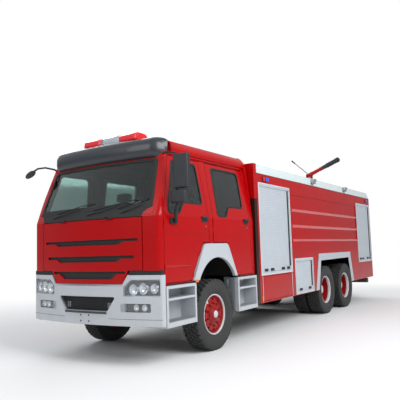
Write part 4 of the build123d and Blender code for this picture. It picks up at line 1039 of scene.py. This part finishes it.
    def build_mirrors(self) -> None:
        """Builds the mirrors: two housings on a bow at the left, a look-down mirror at the right."""
        x, y, body = self.mirror_x, station(self.mirror_station), "front_door_left"
        half, depth, reach = self.mirror_half, self.mirror_depth, self.mirror_glass_half
        shells, glass, bar = Shape(), Shape(), Shape()
        for low, high, move in ((2.310, 2.770, 0.0), (2.118, 2.290, -0.050)):
            shells.box((x + move - half, y - depth, low), (x + move + half, y + depth, high))
            glass.box((x + move - reach, y + depth - 0.002, low + 0.022),
                      (x + move + reach, y + depth + 0.0015, high - 0.022))
        shells.piece("mirror_shells_left", MOULDED, body, replaces=["mirror_left"], round_mm=26, steps=5)
        glass.piece("mirror_glass_left", CHROME, body, round_mm=1)
        inner, mast_y = 1.335, y + 0.02
        bar.tube([(1.220, mast_y + 0.07, 1.890), (1.252, mast_y + 0.055, 1.892),
                  (1.276, mast_y + 0.035, 1.925), (1.290, mast_y + 0.015, 1.985), (1.315, mast_y, 2.050),
                  (inner, mast_y, 2.125)],
                 [0.036, 0.034, 0.028, 0.022, 0.018, 0.016])
        bar.tube([(inner, mast_y, 2.11), (inner, mast_y, 2.40), (inner, mast_y, 2.74), (1.30, mast_y, 2.80),
                  (1.22, mast_y, 2.818), (1.105, mast_y, 2.818)], 0.014)
        bar.piece("mirror_bow_left", TRIM, body)
        foot = Shape().box((1.213, mast_y - 0.02, 1.848), (1.238, mast_y + 0.14, 1.925))
        foot.piece("mirror_foot_left", MOULDED, body, round_mm=6, steps=3)
        arm = [(-1.098, station(-1.02), 2.800), (-1.125, station(-1.12), 2.845),
               (-1.215, station(-1.22), 2.872), (-1.320, station(-1.28), 2.862),
               (-1.410, station(-1.30), 2.820)]
        Shape().tube(arm, 0.014).piece("look_down_mirror_arm", TRIM, "front_door_right",
                                       replaces=["mirror_right"])
        head_x, head_station, head_z = self.look_down_head
        head = Shape().skin([[(head_x + 0.100 * math.cos(t) * s,
                               station(head_station) + 0.065 * math.sin(t) * s,
                               head_z + 0.045 * math.cos(t) * s + dz) for t in around(24)]
                             for s, dz in ((0.88, -0.016), (1.0, 0.0), (0.92, 0.022), (0.5, 0.044))])
        head.piece("look_down_mirror_head", MOULDED, "front_door_right", round_mm=3)

    def build_panels(self) -> None:
        """Builds the dark strip below the glass, its rounded lower corners and a dark band above the bumper
        that is painted shade in the recess there.
        """
        strip, corners, band = Shape(), Shape(), Shape()
        strip.sweep(cab_front, spread(1.085, 24),
                    ((2.082, -0.012), (2.082, 0.0025), (2.122, 0.0025), (2.122, -0.012)))
        strip.sweep(cab_front, spread(0.88 * 1.085, 24),
                    ((1.959, -0.008), (1.959, 0.001), (1.990, 0.001), (1.990, -0.008)))
        for side in SIDES.values():
            corner = [(1.113, 1.982), (1.113, 2.088), (1.062, 2.072), (1.012, 2.046), (0.974, 2.012),
                      (0.958, 1.982)]
            corners.plate([(side * x, z) for x, z in corner], cab_front, -0.010, 0.0045)
            # Dark band in the gap above the bumper: painted shade in the recess, whose wall is red
            band.sweep(cab_front, [side * (0.738 + 0.472 * k / 8) for k in range(9)],
                       ((1.192, -0.075), (1.192, -0.018), (1.252, -0.018), (1.252, -0.075)))
            band.box((side * 1.150, station(-1.405), 1.192), (side * 1.2165, station(-1.345), 1.246))
        strip.piece("cowl_strip", TRIM)
        corners.piece("cowl_corners", RED)
        band.piece("bumper_gap_band", TRIM)

    def build_roof_edges(self) -> None:
        """Builds the full roof edge above the doors and the upright corner at the cab's rear."""
        edge, corner = Shape(), Shape()
        section = [(1.050, 2.864), (1.120, 2.864), (1.130, 2.905), (1.116, 2.970), (1.078, 3.022),
                   (1.000, 3.052), (0.955, 3.040)]
        for side in SIDES.values():
            edge.skin([[(side * x, station(at), z) for x, z in section]
                       for at in (-0.985, -0.4, 0.4, 1.080)])
        outline = [(1.170, 1.965), (1.1755, 1.965), (1.1755, 2.880), (1.160, 2.945), (1.120, 2.995),
                   (1.050, 3.032), (0.990, 3.040), (0.990, 3.000), (1.085, 2.880)]

        def reach(height: float) -> float:
            """Half width of the cab at a height."""
            half = CAB_HALF - SIDE_LEAN * 0.72 * (min(height, CAB_RAIL) - CAB_BELT)
            return half - 0.40 * max(0.0, height - 2.90)

        corner.skin([[(side * reach(z), station(at), z) for at, z in outline] for side in (-1, 1)])
        header = Shape()
        for side in SIDES.values():
            header.box((side * 0.985, station(-1.02), 2.790), (side * 1.032, station(1.08), 2.880))
        header.piece("door_headers", TRIM, round_mm=4)
        edge.piece("roof_edges", RED, round_mm=4)
        corner.piece("cab_rear_corner", RED, round_mm=2)

    def build(self) -> None:
        """Builds everything on the cab."""
        self.build_seals()
        self.build_handles()
        self.build_grille()
        self.build_visor()
        self.build_light_bar()
        self.build_wipers()
        self.build_trim()
        self.build_mirrors()
        self.build_panels()
        self.build_roof_edges()


@dataclass
class Bumper:
    """Bumper details: lamps with reflectors and lenses, the lower grille, seams and the pin holes."""

    depth: float = 0.075

    headlamp: ClassVar[list[Point2]] = [(0.668, 0.915), (1.195, 0.912), (1.195, 1.130), (0.775, 1.130),
                                        (0.668, 1.035)]
    fog_lamp: ClassVar[list[Point2]] = [(0.620, 0.712), (1.060, 0.712), (1.060, 0.822), (0.620, 0.822)]

    def lamp(self, name: str, outline: Sequence[Point2], bowls: Sequence[tuple[float, float, float]],
             first: bool) -> None:
        """Builds one lamp on each side.

        Args:
            name: Name of the lamp.
            outline: Outline of its pocket on the left.
            bowls: Middle and radius of each reflector.
            first: Whether this lamp stands for the CAD lamps.
        """
        tray, rings, chrome, lens = Shape(), Shape(), Shape(), Shape()
        for side in SIDES.values():
            points = Cab.fine(rounded(inset([(side * x, z) for x, z in outline], 0.0008), 0.014), 2)
            tray.plate(points, bumper_front, -self.depth, -self.depth + 0.012)
            lens.skin([[bumper_front(a, b, h) for a, b in ring] for ring, h in (
                (points, -0.020), (points, -0.004), (inset(points, 0.006), 0.002))])
            rings.frame(points, inset(points, 0.010), bumper_front, -self.depth + 0.012, -0.020)
            for x, z, radius in bowls:
                base = Vector(bumper_front(side * x, z, -self.depth + 0.010))
                profile = [(0.0, 0.3), (0.004, 0.55), (0.014, 0.8), (0.034, 1.0), (0.034, 1.08),
                           (0.0, 1.08)]
                loops = [[tuple(base + Vector((r * radius * math.cos(t), -d, r * radius * math.sin(t))))
                          for t in around(28)] for d, r in profile]
                chrome.skin(loops, closed=True)
                bulb = [[tuple(base + Vector((r * math.cos(t), -d, r * math.sin(t)))) for t in around(14)]
                        for d, r in ((0.0, 0.016), (0.02, 0.016), (0.03, 0.008))]
                chrome.skin(bulb)
        tray.piece(f"{name}_tray", DASH if first else TRIM, replaces=["front_lamps"] if first else ())
        rings.piece(f"{name}_bezel", STEEL if first else TRIM)
        chrome.piece(f"{name}_reflectors", CHROME)
        lens.piece(f"{name}_lens", LENS)

    def build_grille(self) -> None:
        """Builds the mesh in the lower grille and the dark panel behind it."""
        outline = [(-0.540, 0.905), (0.540, 0.905), (0.400, 0.715), (-0.400, 0.715)]
        back = Cab.fine(rounded(inset(outline, -0.004), 0.02), 2)
        Shape().plate(back, bumper_front, -0.075, -0.060).piece("lower_grille_back", TRIM)
        bars = Shape()
        for index in range(9):
            z = 0.725 + index * 0.021
            half = 0.405 + 0.135 * (z - 0.715) / 0.19
            bars.tube([bumper_front(x, z, -0.030) for x in spread(half, 12)], 0.0035, 6)
        for index in range(-13, 14):
            x = index * 0.039
            low = 0.715 if abs(x) < 0.4 else 0.715 + (abs(x) - 0.4) / 0.14 * 0.19
            bars.tube([bumper_front(x, low, -0.034), bumper_front(x, 0.905, -0.034)], 0.003, 6)
        bars.piece("lower_grille_mesh", MOULDED)
        ledge = ((0.700, -0.004), (0.712, 0.016), (0.690, 0.020), (0.676, -0.004))
        Shape().sweep(bumper_front, spread(0.39, 12), ledge).piece("grille_ledge", DASH, round_mm=2)

    def build_marks(self) -> None:
        """Builds the bumper's seams, pin holes and upper lip."""
        seams, holes, lip = Shape(), Shape(), Shape()
        for side in SIDES.values():
            seams.sweep(bumper_front, [side * (0.42 + 0.80 * k / 10) for k in range(11)],
                        ((0.618, -0.002), (0.618, 0.0012), (0.622, 0.0012), (0.622, -0.002)))
            for z in (0.575, 0.655):
                x, y, height = bumper_front(side * 0.075, z)
                holes.skin([[(x + 0.013 * math.cos(t), y - d, height + 0.013 * math.sin(t))
                             for t in around(16)] for d in (-0.002, 0.0012)])
            filler = rounded([(0.619, 0.711), (0.688, 0.711), (0.688, 0.823), (0.619, 0.823)], 0.006)
            lip.plate([(side * x, z) for x, z in filler], bumper_front, -0.040, -0.001)
        seams.piece("bumper_seams", TRIM)
        holes.piece("bumper_pin_holes", TRIM)
        edge = [(-0.752, 1.186), (-0.664, 1.052), (0.664, 1.052), (0.752, 1.186), (0.735, 1.196),
                (0.652, 1.070), (-0.652, 1.070), (-0.735, 1.196)]
        lip.plate(Cab.fine(edge, 6), bumper_front, -0.050, 0.003)
        lip.piece("bumper_lip", SILVER, round_mm=2)

    def build(self) -> None:
        """Builds everything on the bumper."""
        self.lamp("headlamp", self.headlamp,
                  ((0.80, 1.000, 0.068), (0.945, 1.012, 0.072), (1.095, 1.015, 0.062)), True)
        self.lamp("fog_lamp", self.fog_lamp, ((0.84, 0.767, 0.040), (0.96, 0.767, 0.040)), False)
        self.build_grille()
        self.build_marks()


@dataclass
class Steps:
    """Treads in the cab steps."""

    boxes: tuple[Point2, ...] = ((-1.338, -0.645), (0.545, 1.195))
    stud_pitch: float = 0.024

    def stud(self) -> Shape:
        """One raised tear of the tread plate."""
        return Shape().skin([[(0.010 * r * math.cos(t), 0.0035 * r * math.sin(t), z)
                              for t in around(8)] for r, z in ((1.0, 0.0), (0.6, 0.0018))])

    def build(self) -> None:
        """Builds a studded tread on the floor of every recess."""
        for number, (low, high) in enumerate(self.boxes):
            length, depth = high - low - 0.10, 0.20
            count, rows = int(depth / self.stud_pitch), int(length / self.stud_pitch)
            studs = repeat(f"tread_studs_{number}", self.stud(), DARK_STEEL, Layout.GRID, count,
                           self.stud_pitch, rows, self.stud_pitch)
            for side_name, side in SIDES.items():
                for level, floor in (("low", 0.5702), ("high", 0.8802)):
                    centre = (side * 1.13, station((low + high) / 2), floor)
                    Shape().box((centre[0] - 0.095, centre[1] - length / 2, floor),
                                (centre[0] + 0.095, centre[1] + length / 2, floor + 0.003)).piece(
                        f"tread_{level}_{number}_{side_name}", DECK)
                    place_mesh(f"studs_{level}_{number}_{side_name}", studs,
                               Matrix.Translation((centre[0], centre[1], floor + 0.003)), DECK, VEHICLE)


@dataclass
class Body:
    """Details on the equipment body: shutter rails and latches, lamps, beads, seams and white edges."""

    bays: tuple[tuple[float, float, float, float], ...] = (
        (1.370, 2.690, 1.030, 2.630), (2.840, 3.780, 0.575, 1.250), (7.110, 8.330, 1.050, 2.600))
    beads: tuple[float, ...] = (2.220, 1.905, 1.620)
    flashers: tuple[Point2, ...] = ((1.650, 0.120), (8.080, 0.075))
    floodlights: tuple[float, ...] = (3.950, 6.110)
    tail_lamps: tuple[float, ...] = (1.170, 1.300, 1.430)
    tail_x: float = 1.120

    @staticmethod
    def on_side(side: int) -> Placer:
        """Placer for the body's side: station, height and distance out."""
        return lambda a, b, h: (side * (BODY_HALF + h), station(a), b)

    def build_shutters(self) -> None:
        """Builds the rails, the lift bars and the latches of the shutters."""
        rims, bars, latches, strips = Shape(), Shape(), Shape(), Shape()
        for side in SIDES.values():
            place = self.on_side(side)
            for low, high, floor, ceiling in self.bays:
                outer = rectangle((low - 0.014, floor - 0.014), (high + 0.014, ceiling + 0.014))
                inner = rectangle((low + 0.010, floor + 0.010), (high - 0.010, ceiling - 0.010))
                rims.frame(outer, inner, place, 0.0005, 0.006)
                bars.plate(rectangle((low + 0.045, floor + 0.045), (high - 0.045, floor + 0.105)), place,
                           -0.020, -0.004)
                strips.plate(rectangle((high - 0.075, floor + 0.11), (high - 0.045, ceiling - 0.045)),
                             place, -0.020, -0.006)
                middle, reach = (low + high) / 2, (high - low) / 2
                marks = (-0.72, -0.35, 0.35, 0.72) if high - low > 1.0 else (-0.5, 0.5)
                for share in marks:
                    at = middle + share * reach
                    latch = rectangle((at - 0.055, floor + 0.052), (at + 0.055, floor + 0.098))
                    latches.plate(rounded(latch, 0.01), place, -0.004, 0.016)
        rims.piece("shutter_rims", WHEEL_WHITE, round_mm=1.5)
        bars.piece("shutter_lift_bars", SLAT, round_mm=3)
        strips.piece("shutter_guide_brushes", TRIM, round_mm=1)
        latches.piece("shutter_latches", TRIM, round_mm=4)

    def build_lamps(self) -> None:
        """Builds the flashers, the roof floodlights, the tail lamps and the side markers."""
        shells, blue, red, white, brackets, amber = (Shape() for _ in range(6))
        for side in SIDES.values():
            place = self.on_side(side)
            for at, half in self.flashers:
                shells.plate(rounded(rectangle((at - half, 2.672), (at + half, 2.758)), 0.012), place,
                             0.0005, 0.012)
                blue.plate(rounded(rectangle((at - half * 0.15, 2.680), (at + half * 0.92, 2.750)), 0.010),
                           place, 0.012, 0.026)
                red.plate(rounded(rectangle((at - half * 0.92, 2.680), (at - half * 0.45, 2.750)), 0.010),
                          place, 0.012, 0.026)
            for at in self.floodlights:
                y, x = station(at), side * 1.292
                shells.box((side * 1.2485, y - 0.030, 2.830), (side * 1.262, y + 0.030, 2.900))
                tilt = Matrix.Translation((x, y, 2.895)) @ Matrix.Rotation(math.radians(side * 14), 4, "Y")
                case = rounded(rectangle((-0.078, -0.055), (0.078, 0.055)), 0.012)
                brackets.skin([[tuple(tilt @ Vector((h * side, a, b))) for a, b in ring] for ring, h in (
                    (inset(case, 0.02), -0.034), (case, -0.006), (case, 0.030))])
                white.skin([[tuple(tilt @ Vector((h * side, a, b))) for a, b in inset(case, 0.008)]
                            for h in (0.026, 0.034)])
            x, y = side * self.tail_x, station(BODY_REAR)
            for z, lens in zip(self.tail_lamps, (red, amber, red)):
                lens.box((x - 0.05, y + 0.012, z - 0.055), (x + 0.05, y + 0.034, z + 0.055))
            shells.box((x - 0.06, y + 0.0005, 1.10), (x + 0.06, y + 0.014, 1.50))
            amber.plate(rectangle((1.352, 0.560), (1.385, 0.680)), place, 0.0, 0.012)
        shells.piece("lamp_shells", TRIM, replaces=["body_lamps"], round_mm=2)
        blue.piece("flasher_blue", BLUE_LENS, round_mm=4)
        red.piece("flasher_red", RED_LENS, round_mm=4)
        white.piece("floodlight_lenses", LENS, round_mm=1)
        brackets.piece("floodlight_cases", STEEL, round_mm=5)
        amber.piece("amber_markers", AMBER, round_mm=3)

    def build_seams(self) -> None:
        """Builds the panel seams, the line below the roof boards and the flaps' white edges."""
        seams, edges, ridges = Shape(), Shape(), Shape()
        for side in SIDES.values():
            place = self.on_side(side)
            seams.plate(rectangle((1.32, 2.797), (8.39, 2.805)), place, -0.001, 0.0012)
            for at in (2.735, 7.085):
                seams.plate(rectangle((at, 0.60 if at > 7 else 0.56), (at + 0.003, 2.79)), place, -0.001,
                            0.0008)
            seams.plate(rectangle((7.11, 0.985), (8.35, 0.988)), place, -0.001, 0.0008)
            edges.plate(rectangle((1.392, 0.575), (1.402, 1.005)), place, 0.0, 0.006)
            edges.plate(rectangle((2.655, 0.555), (2.668, 1.005)), place, 0.0, 0.006)
        for side in SIDES.values():
            for z in self.beads:
                section = [(-0.013, -0.032), (0.012, -0.006), (0.015, 0.002), (0.012, 0.009),
                           (-0.013, 0.030)]
                ridges.skin([[(side * (BODY_HALF + h), station(at), z + dz) for h, dz in section]
                             for at in (2.775, 7.045)])
        # The beads' lighter red is a painted highlight, not their own colour
        ridges.piece("side_beads", BEAD_HIGHLIGHT_RED, round_mm=2)
        seams.piece("body_seams", TRIM)
        edges.piece("flap_edges", WHEEL_WHITE, round_mm=1)

    def build(self) -> None:
        """Builds everything on the body."""
        self.build_shutters()
        self.build_lamps()
        self.build_seams()


@dataclass
class Monitor:
    """The roof monitor: a curved red pipe, a ribbed dark barrel and a tiller."""

    heading_deg: float = 25.0
    lift_deg: float = 24.0
    tiller_deg: float = 30.0
    pivot: Point3 = (0.0, 3.615, 3.495)
    length: float = 1.300

    def build(self) -> None:
        """Builds the barrel and its tiller around the pivot."""
        heading, lift, rise = (math.radians(a) for a in (self.heading_deg, self.lift_deg, self.tiller_deg))
        level = Vector((math.sin(heading), math.cos(heading), 0))
        up = Vector((0, 0, 1))
        along = level * math.cos(lift) + up * math.sin(lift)
        back = up * math.sin(rise) - level * math.cos(rise)
        pivot = Vector(self.pivot)

        def at(distance: float) -> Point3:
            """Point along the barrel."""
            return tuple(pivot + along * distance)

        red = Shape().tube([at(-0.05), at(0.0), at(0.10), at(0.30), at(0.50)],
                           [0.048, 0.056, 0.052, 0.050, 0.048], 28)
        red.tube([at(0.09), at(0.115)], 0.060, 28)
        red.tube([at(0.47), at(0.505)], 0.056, 28)
        red.piece("monitor_root", RED, "monitor_tube", replaces=["monitor_barrel"], round_mm=3)
        dark = Shape().tube([at(0.500), at(0.56), at(0.68), at(0.76), at(0.80), at(1.20)],
                            [0.050, 0.052, 0.056, 0.060, 0.062, 0.064], 28)
        for distance in (0.80, 0.90, 1.00, 1.10, 1.18):
            dark.tube([at(distance), at(distance + 0.03)], 0.068, 28)
        dark.tube([at(1.20), at(1.295)], [0.072, 0.072], 28)
        dark.piece("monitor_nozzle", MOULDED, "monitor_tube", round_mm=3)
        rod = Shape().tube([tuple(pivot), tuple(pivot + back * 0.62)], 0.011, 16)
        rod.piece("monitor_tiller", STEEL, "monitor_tube")
        Shape().tube([tuple(pivot + back * 0.60), tuple(pivot + back * 0.73)], [0.016, 0.019], 16).piece(
            "monitor_grip", TRIM, "monitor_tube", round_mm=3)


@dataclass
class Interior:
    """Seats as crowned cushions on plain bases."""

    seat_x: float = 0.640

    def cushion(self, name: str, centre: Point3, size: Point3, tilt_deg: float, body: str = VEHICLE,
                replaces: Sequence[str] = ()) -> None:
        """Builds one crowned cushion.

        Args:
            name: Name of the cushion.
            centre: Its middle.
            size: Its full sizes.
            tilt_deg: Turn about the X axis.
            body: Body that it rides on.
            replaces: CAD nodes that it stands for.
        """
        mesh = bmesh.new()
        bmesh.ops.create_cube(mesh, size=1.0)
        bmesh.ops.subdivide_edges(mesh, edges=mesh.edges, cuts=5, use_grid_fill=True)
        for vert in mesh.verts:
            x, y, z = vert.co * 2
            swell = (1 - x * x) * (1 - y * y) if abs(z) > 0.99 else 0.0
            pull = 1 - 0.06 * (1 - abs(x)) * (abs(y) > 0.99) - 0.06 * (1 - abs(y)) * (abs(x) > 0.99)
            vert.co = Vector((x / 2 * size[0] * pull, y / 2 * size[1] * pull,
                              z / 2 * size[2] * (0.78 + 0.22 * swell)))
        data = bpy.data.meshes.new(name)
        mesh.to_mesh(data)
        mesh.free()
        data.shade_smooth()
        data.transform(Matrix.Translation(centre) @ Matrix.Rotation(math.radians(tilt_deg), 4, "X"))
        piece = bpy.data.objects.new(name, data)
        bpy.context.scene.collection.objects.link(piece)
        smooth = piece.modifiers.new("round", "SUBSURF")
        smooth.levels = smooth.render_levels = 1
        settle(piece, CLOTH, body, replaces)

    def build(self) -> None:
        """Builds the two front seats and the rear bench."""
        bases = Shape()
        for side_name, side in SIDES.items():
            x = side * self.seat_x
            bases.box((x - 0.20, station(-0.48), 1.431), (x + 0.20, station(-0.10), 1.60))
            self.cushion(f"seat_cushion_{side_name}", (x, station(-0.30), 1.665), (0.48, 0.50, 0.15), 3,
                         replaces=["seats"] if side > 0 else ())
            self.cushion(f"seat_back_{side_name}", (x, station(-0.055), 2.02), (0.48, 0.13, 0.66), -8)
            self.cushion(f"seat_head_{side_name}", (x, station(0.0), 2.42), (0.28, 0.10, 0.16), -8)
        bases.box((-0.90, station(0.74), 1.106), (0.90, station(1.05), 1.50))
        bases.piece("seat_bases", TRIM, round_mm=8)
        self.cushion("bench_cushion", (0, station(0.86), 1.57), (1.80, 0.42, 0.15), 2)
        self.cushion("bench_back", (0, station(1.01), 1.93), (1.80, 0.13, 0.60), -6)


def dress_nodes() -> None:
    """Gives every CAD node that stays in view its material."""
    by_slot = {
        "chassis_black": CHASSIS, "spring_steel": CHASSIS, "cast_grey": DASH, "grey_plastic": DASH,
        "fire_red": RED, "silver_white": SILVER, "slate_grey": SLATE, "wheel_white": WHEEL_WHITE,
        "black_paint": MOULDED, "black_plastic": MOULDED, "rubber_black": TRIM, "tyre_rubber": TYRE,
        "bare_aluminium": SLAT, "lamp_lens": LENS, "clear_glass": GLASS, "seat_cloth": CLOTH,
    }
    slots = {part["node"]: part["material_slot"] for part in frame["record"]["subparts"]}
    special = {"roof_rails": BOARD, "cowl": TRIM, "monitor_base": SLAT, "body_shell": BODY_RED,
               "cab_shell": CAB_RED, "front_flap": CAB_RED}
    for name, node in frame["nodes"].items():
        finish = special.get(name, by_slot[slots[name]])
        node.data.materials.clear()
        node.data.materials.append(finish.material())


@dataclass
class Studio:
    """Pale floor, soft light and the camera."""

    camera_place: Point3 = (5.281, -10.141, 1.500)
    yaw_deg: float = -33.197
    pitch_deg: float = 5.495
    roll_deg: float = -1.748
    focal_px: float = 513.5
    frame_px: float = 400.0
    sensor_mm: float = 36.0
    lamps: tuple[tuple[str, Point3, Point3, float, float], ...] = (
        ("key_lamp", (11.0, -5.0, 9.0), (0.0, -0.5, 1.4), 8.0, 1500.0),
        ("front_lamp", (-2.0, -15.0, 7.0), (0.0, -4.0, 1.2), 7.0, 380.0),
        ("far_lamp", (-10.0, 6.0, 8.0), (0.0, 1.0, 1.4), 8.0, 700.0))

    def build_floor(self) -> None:
        """Builds a pale floor that fades to plain white far from the truck."""
        bpy.ops.mesh.primitive_circle_add(vertices=64, radius=120, fill_type="NGON")
        floor = bpy.context.object
        floor.name = "floor"
        material = bpy.data.materials.new("pale_floor")
        material.use_nodes = True
        tree = material.node_tree
        tree.nodes.clear()
        place = add_node(tree, "ShaderNodeTexCoord").outputs["Object"]
        reach = add_node(tree, "ShaderNodeVectorMath", {"operation": "LENGTH"}, {0: place}).outputs["Value"]
        far = add_node(tree, "ShaderNodeMapRange", {1: 6.0, 2: 11.0, "interpolation_type": "SMOOTHSTEP"},
                       {0: reach}).outputs[0]
        share = work_out(tree, "MULTIPLY", far, seen_directly(tree))
        plain = add_node(tree, "ShaderNodeBsdfDiffuse", {"Color": (0.80, 0.80, 0.80, 1)}).outputs[0]
        white = add_node(tree, "ShaderNodeEmission", {"Color": (1, 1, 1, 1)}).outputs[0]
        mix = add_node(tree, "ShaderNodeMixShader", links={0: share, 1: plain, 2: white}).outputs[0]
        add_node(tree, "ShaderNodeOutputMaterial", links={"Surface": mix})
        floor.data.materials.append(material)

    def build_world(self) -> None:
        """Builds a soft sky: white to the camera, brighter above than at the horizon for the light."""
        world = bpy.data.worlds.new("soft_sky")
        bpy.context.scene.world = world
        world.use_nodes = True
        tree = world.node_tree
        tree.nodes.clear()
        way = add_node(tree, "ShaderNodeTexCoord").outputs["Generated"]
        height = add_node(tree, "ShaderNodeSeparateXYZ", links={0: way}).outputs["Z"]
        share = add_node(tree, "ShaderNodeMapRange", {1: -0.05, 2: 0.45}, {0: height}).outputs[0]
        colour = add_node(tree, "ShaderNodeMix",
                          {"data_type": "RGBA", 6: (0.30, 0.30, 0.31, 1), 7: (0.92, 0.96, 1.0, 1)},
                          {0: share}).outputs[2]
        sky = add_node(tree, "ShaderNodeBackground", {"Strength": 0.66}, {"Color": colour}).outputs[0]
        white = add_node(tree, "ShaderNodeBackground", {"Color": (1, 1, 1, 1), "Strength": 1.0}).outputs[0]
        mix = add_node(tree, "ShaderNodeMixShader",
                       links={0: seen_directly(tree), 1: sky, 2: white}).outputs[0]
        add_node(tree, "ShaderNodeOutputWorld", links={"Surface": mix})

    def build_lights(self) -> None:
        """Builds the soft lamps above and beside the truck."""
        for name, place, aim, size, power in self.lamps:
            light = bpy.data.lights.new(name, "AREA")
            light.size = size
            light.energy = power
            lamp = bpy.data.objects.new(name, light)
            lamp.location = place
            lamp.rotation_euler = (Vector(aim) - Vector(place)).to_track_quat("-Z", "Y").to_euler()
            bpy.context.scene.collection.objects.link(lamp)

    def build_camera(self) -> None:
        """Builds the camera at the photograph's own place and turn."""
        yaw, pitch, roll = (math.radians(a) for a in (self.yaw_deg, self.pitch_deg, self.roll_deg))
        forward = Vector((math.sin(yaw) * math.cos(pitch), math.cos(yaw) * math.cos(pitch),
                          math.sin(pitch)))
        right = Vector((math.cos(yaw), -math.sin(yaw), 0))
        up = right.cross(forward)
        right_rolled = right * math.cos(roll) + up * math.sin(roll)
        up_rolled = up * math.cos(roll) - right * math.sin(roll)
        data = bpy.data.cameras.new("photo_camera")
        data.sensor_width = self.sensor_mm
        data.lens = self.focal_px / self.frame_px * self.sensor_mm
        data.clip_end = 400
        camera = bpy.data.objects.new("photo_camera", data)
        camera.matrix_world = Matrix.Translation(self.camera_place) @ Matrix(
            (right_rolled, up_rolled, -forward)).transposed().to_4x4()
        bpy.context.scene.collection.objects.link(camera)
        bpy.context.scene.camera = camera

    def build(self) -> None:
        """Builds the whole studio."""
        self.build_floor()
        self.build_world()
        self.build_lights()
        self.build_camera()
        bpy.context.scene.view_settings.view_transform = "Standard"


def main() -> None:
    """Builds the studio and every sub-assembly."""
    logging.basicConfig(level=logging.INFO, format="%(name)s: %(message)s")
    dress_nodes()
    for assembly in (Studio(), Wheels(), Cab(), Bumper(), Steps(), Body(), Monitor(), Interior()):
        log.info("building %s", type(assembly).__name__)
        assembly.build()


if __name__ == "__main__":
    main()
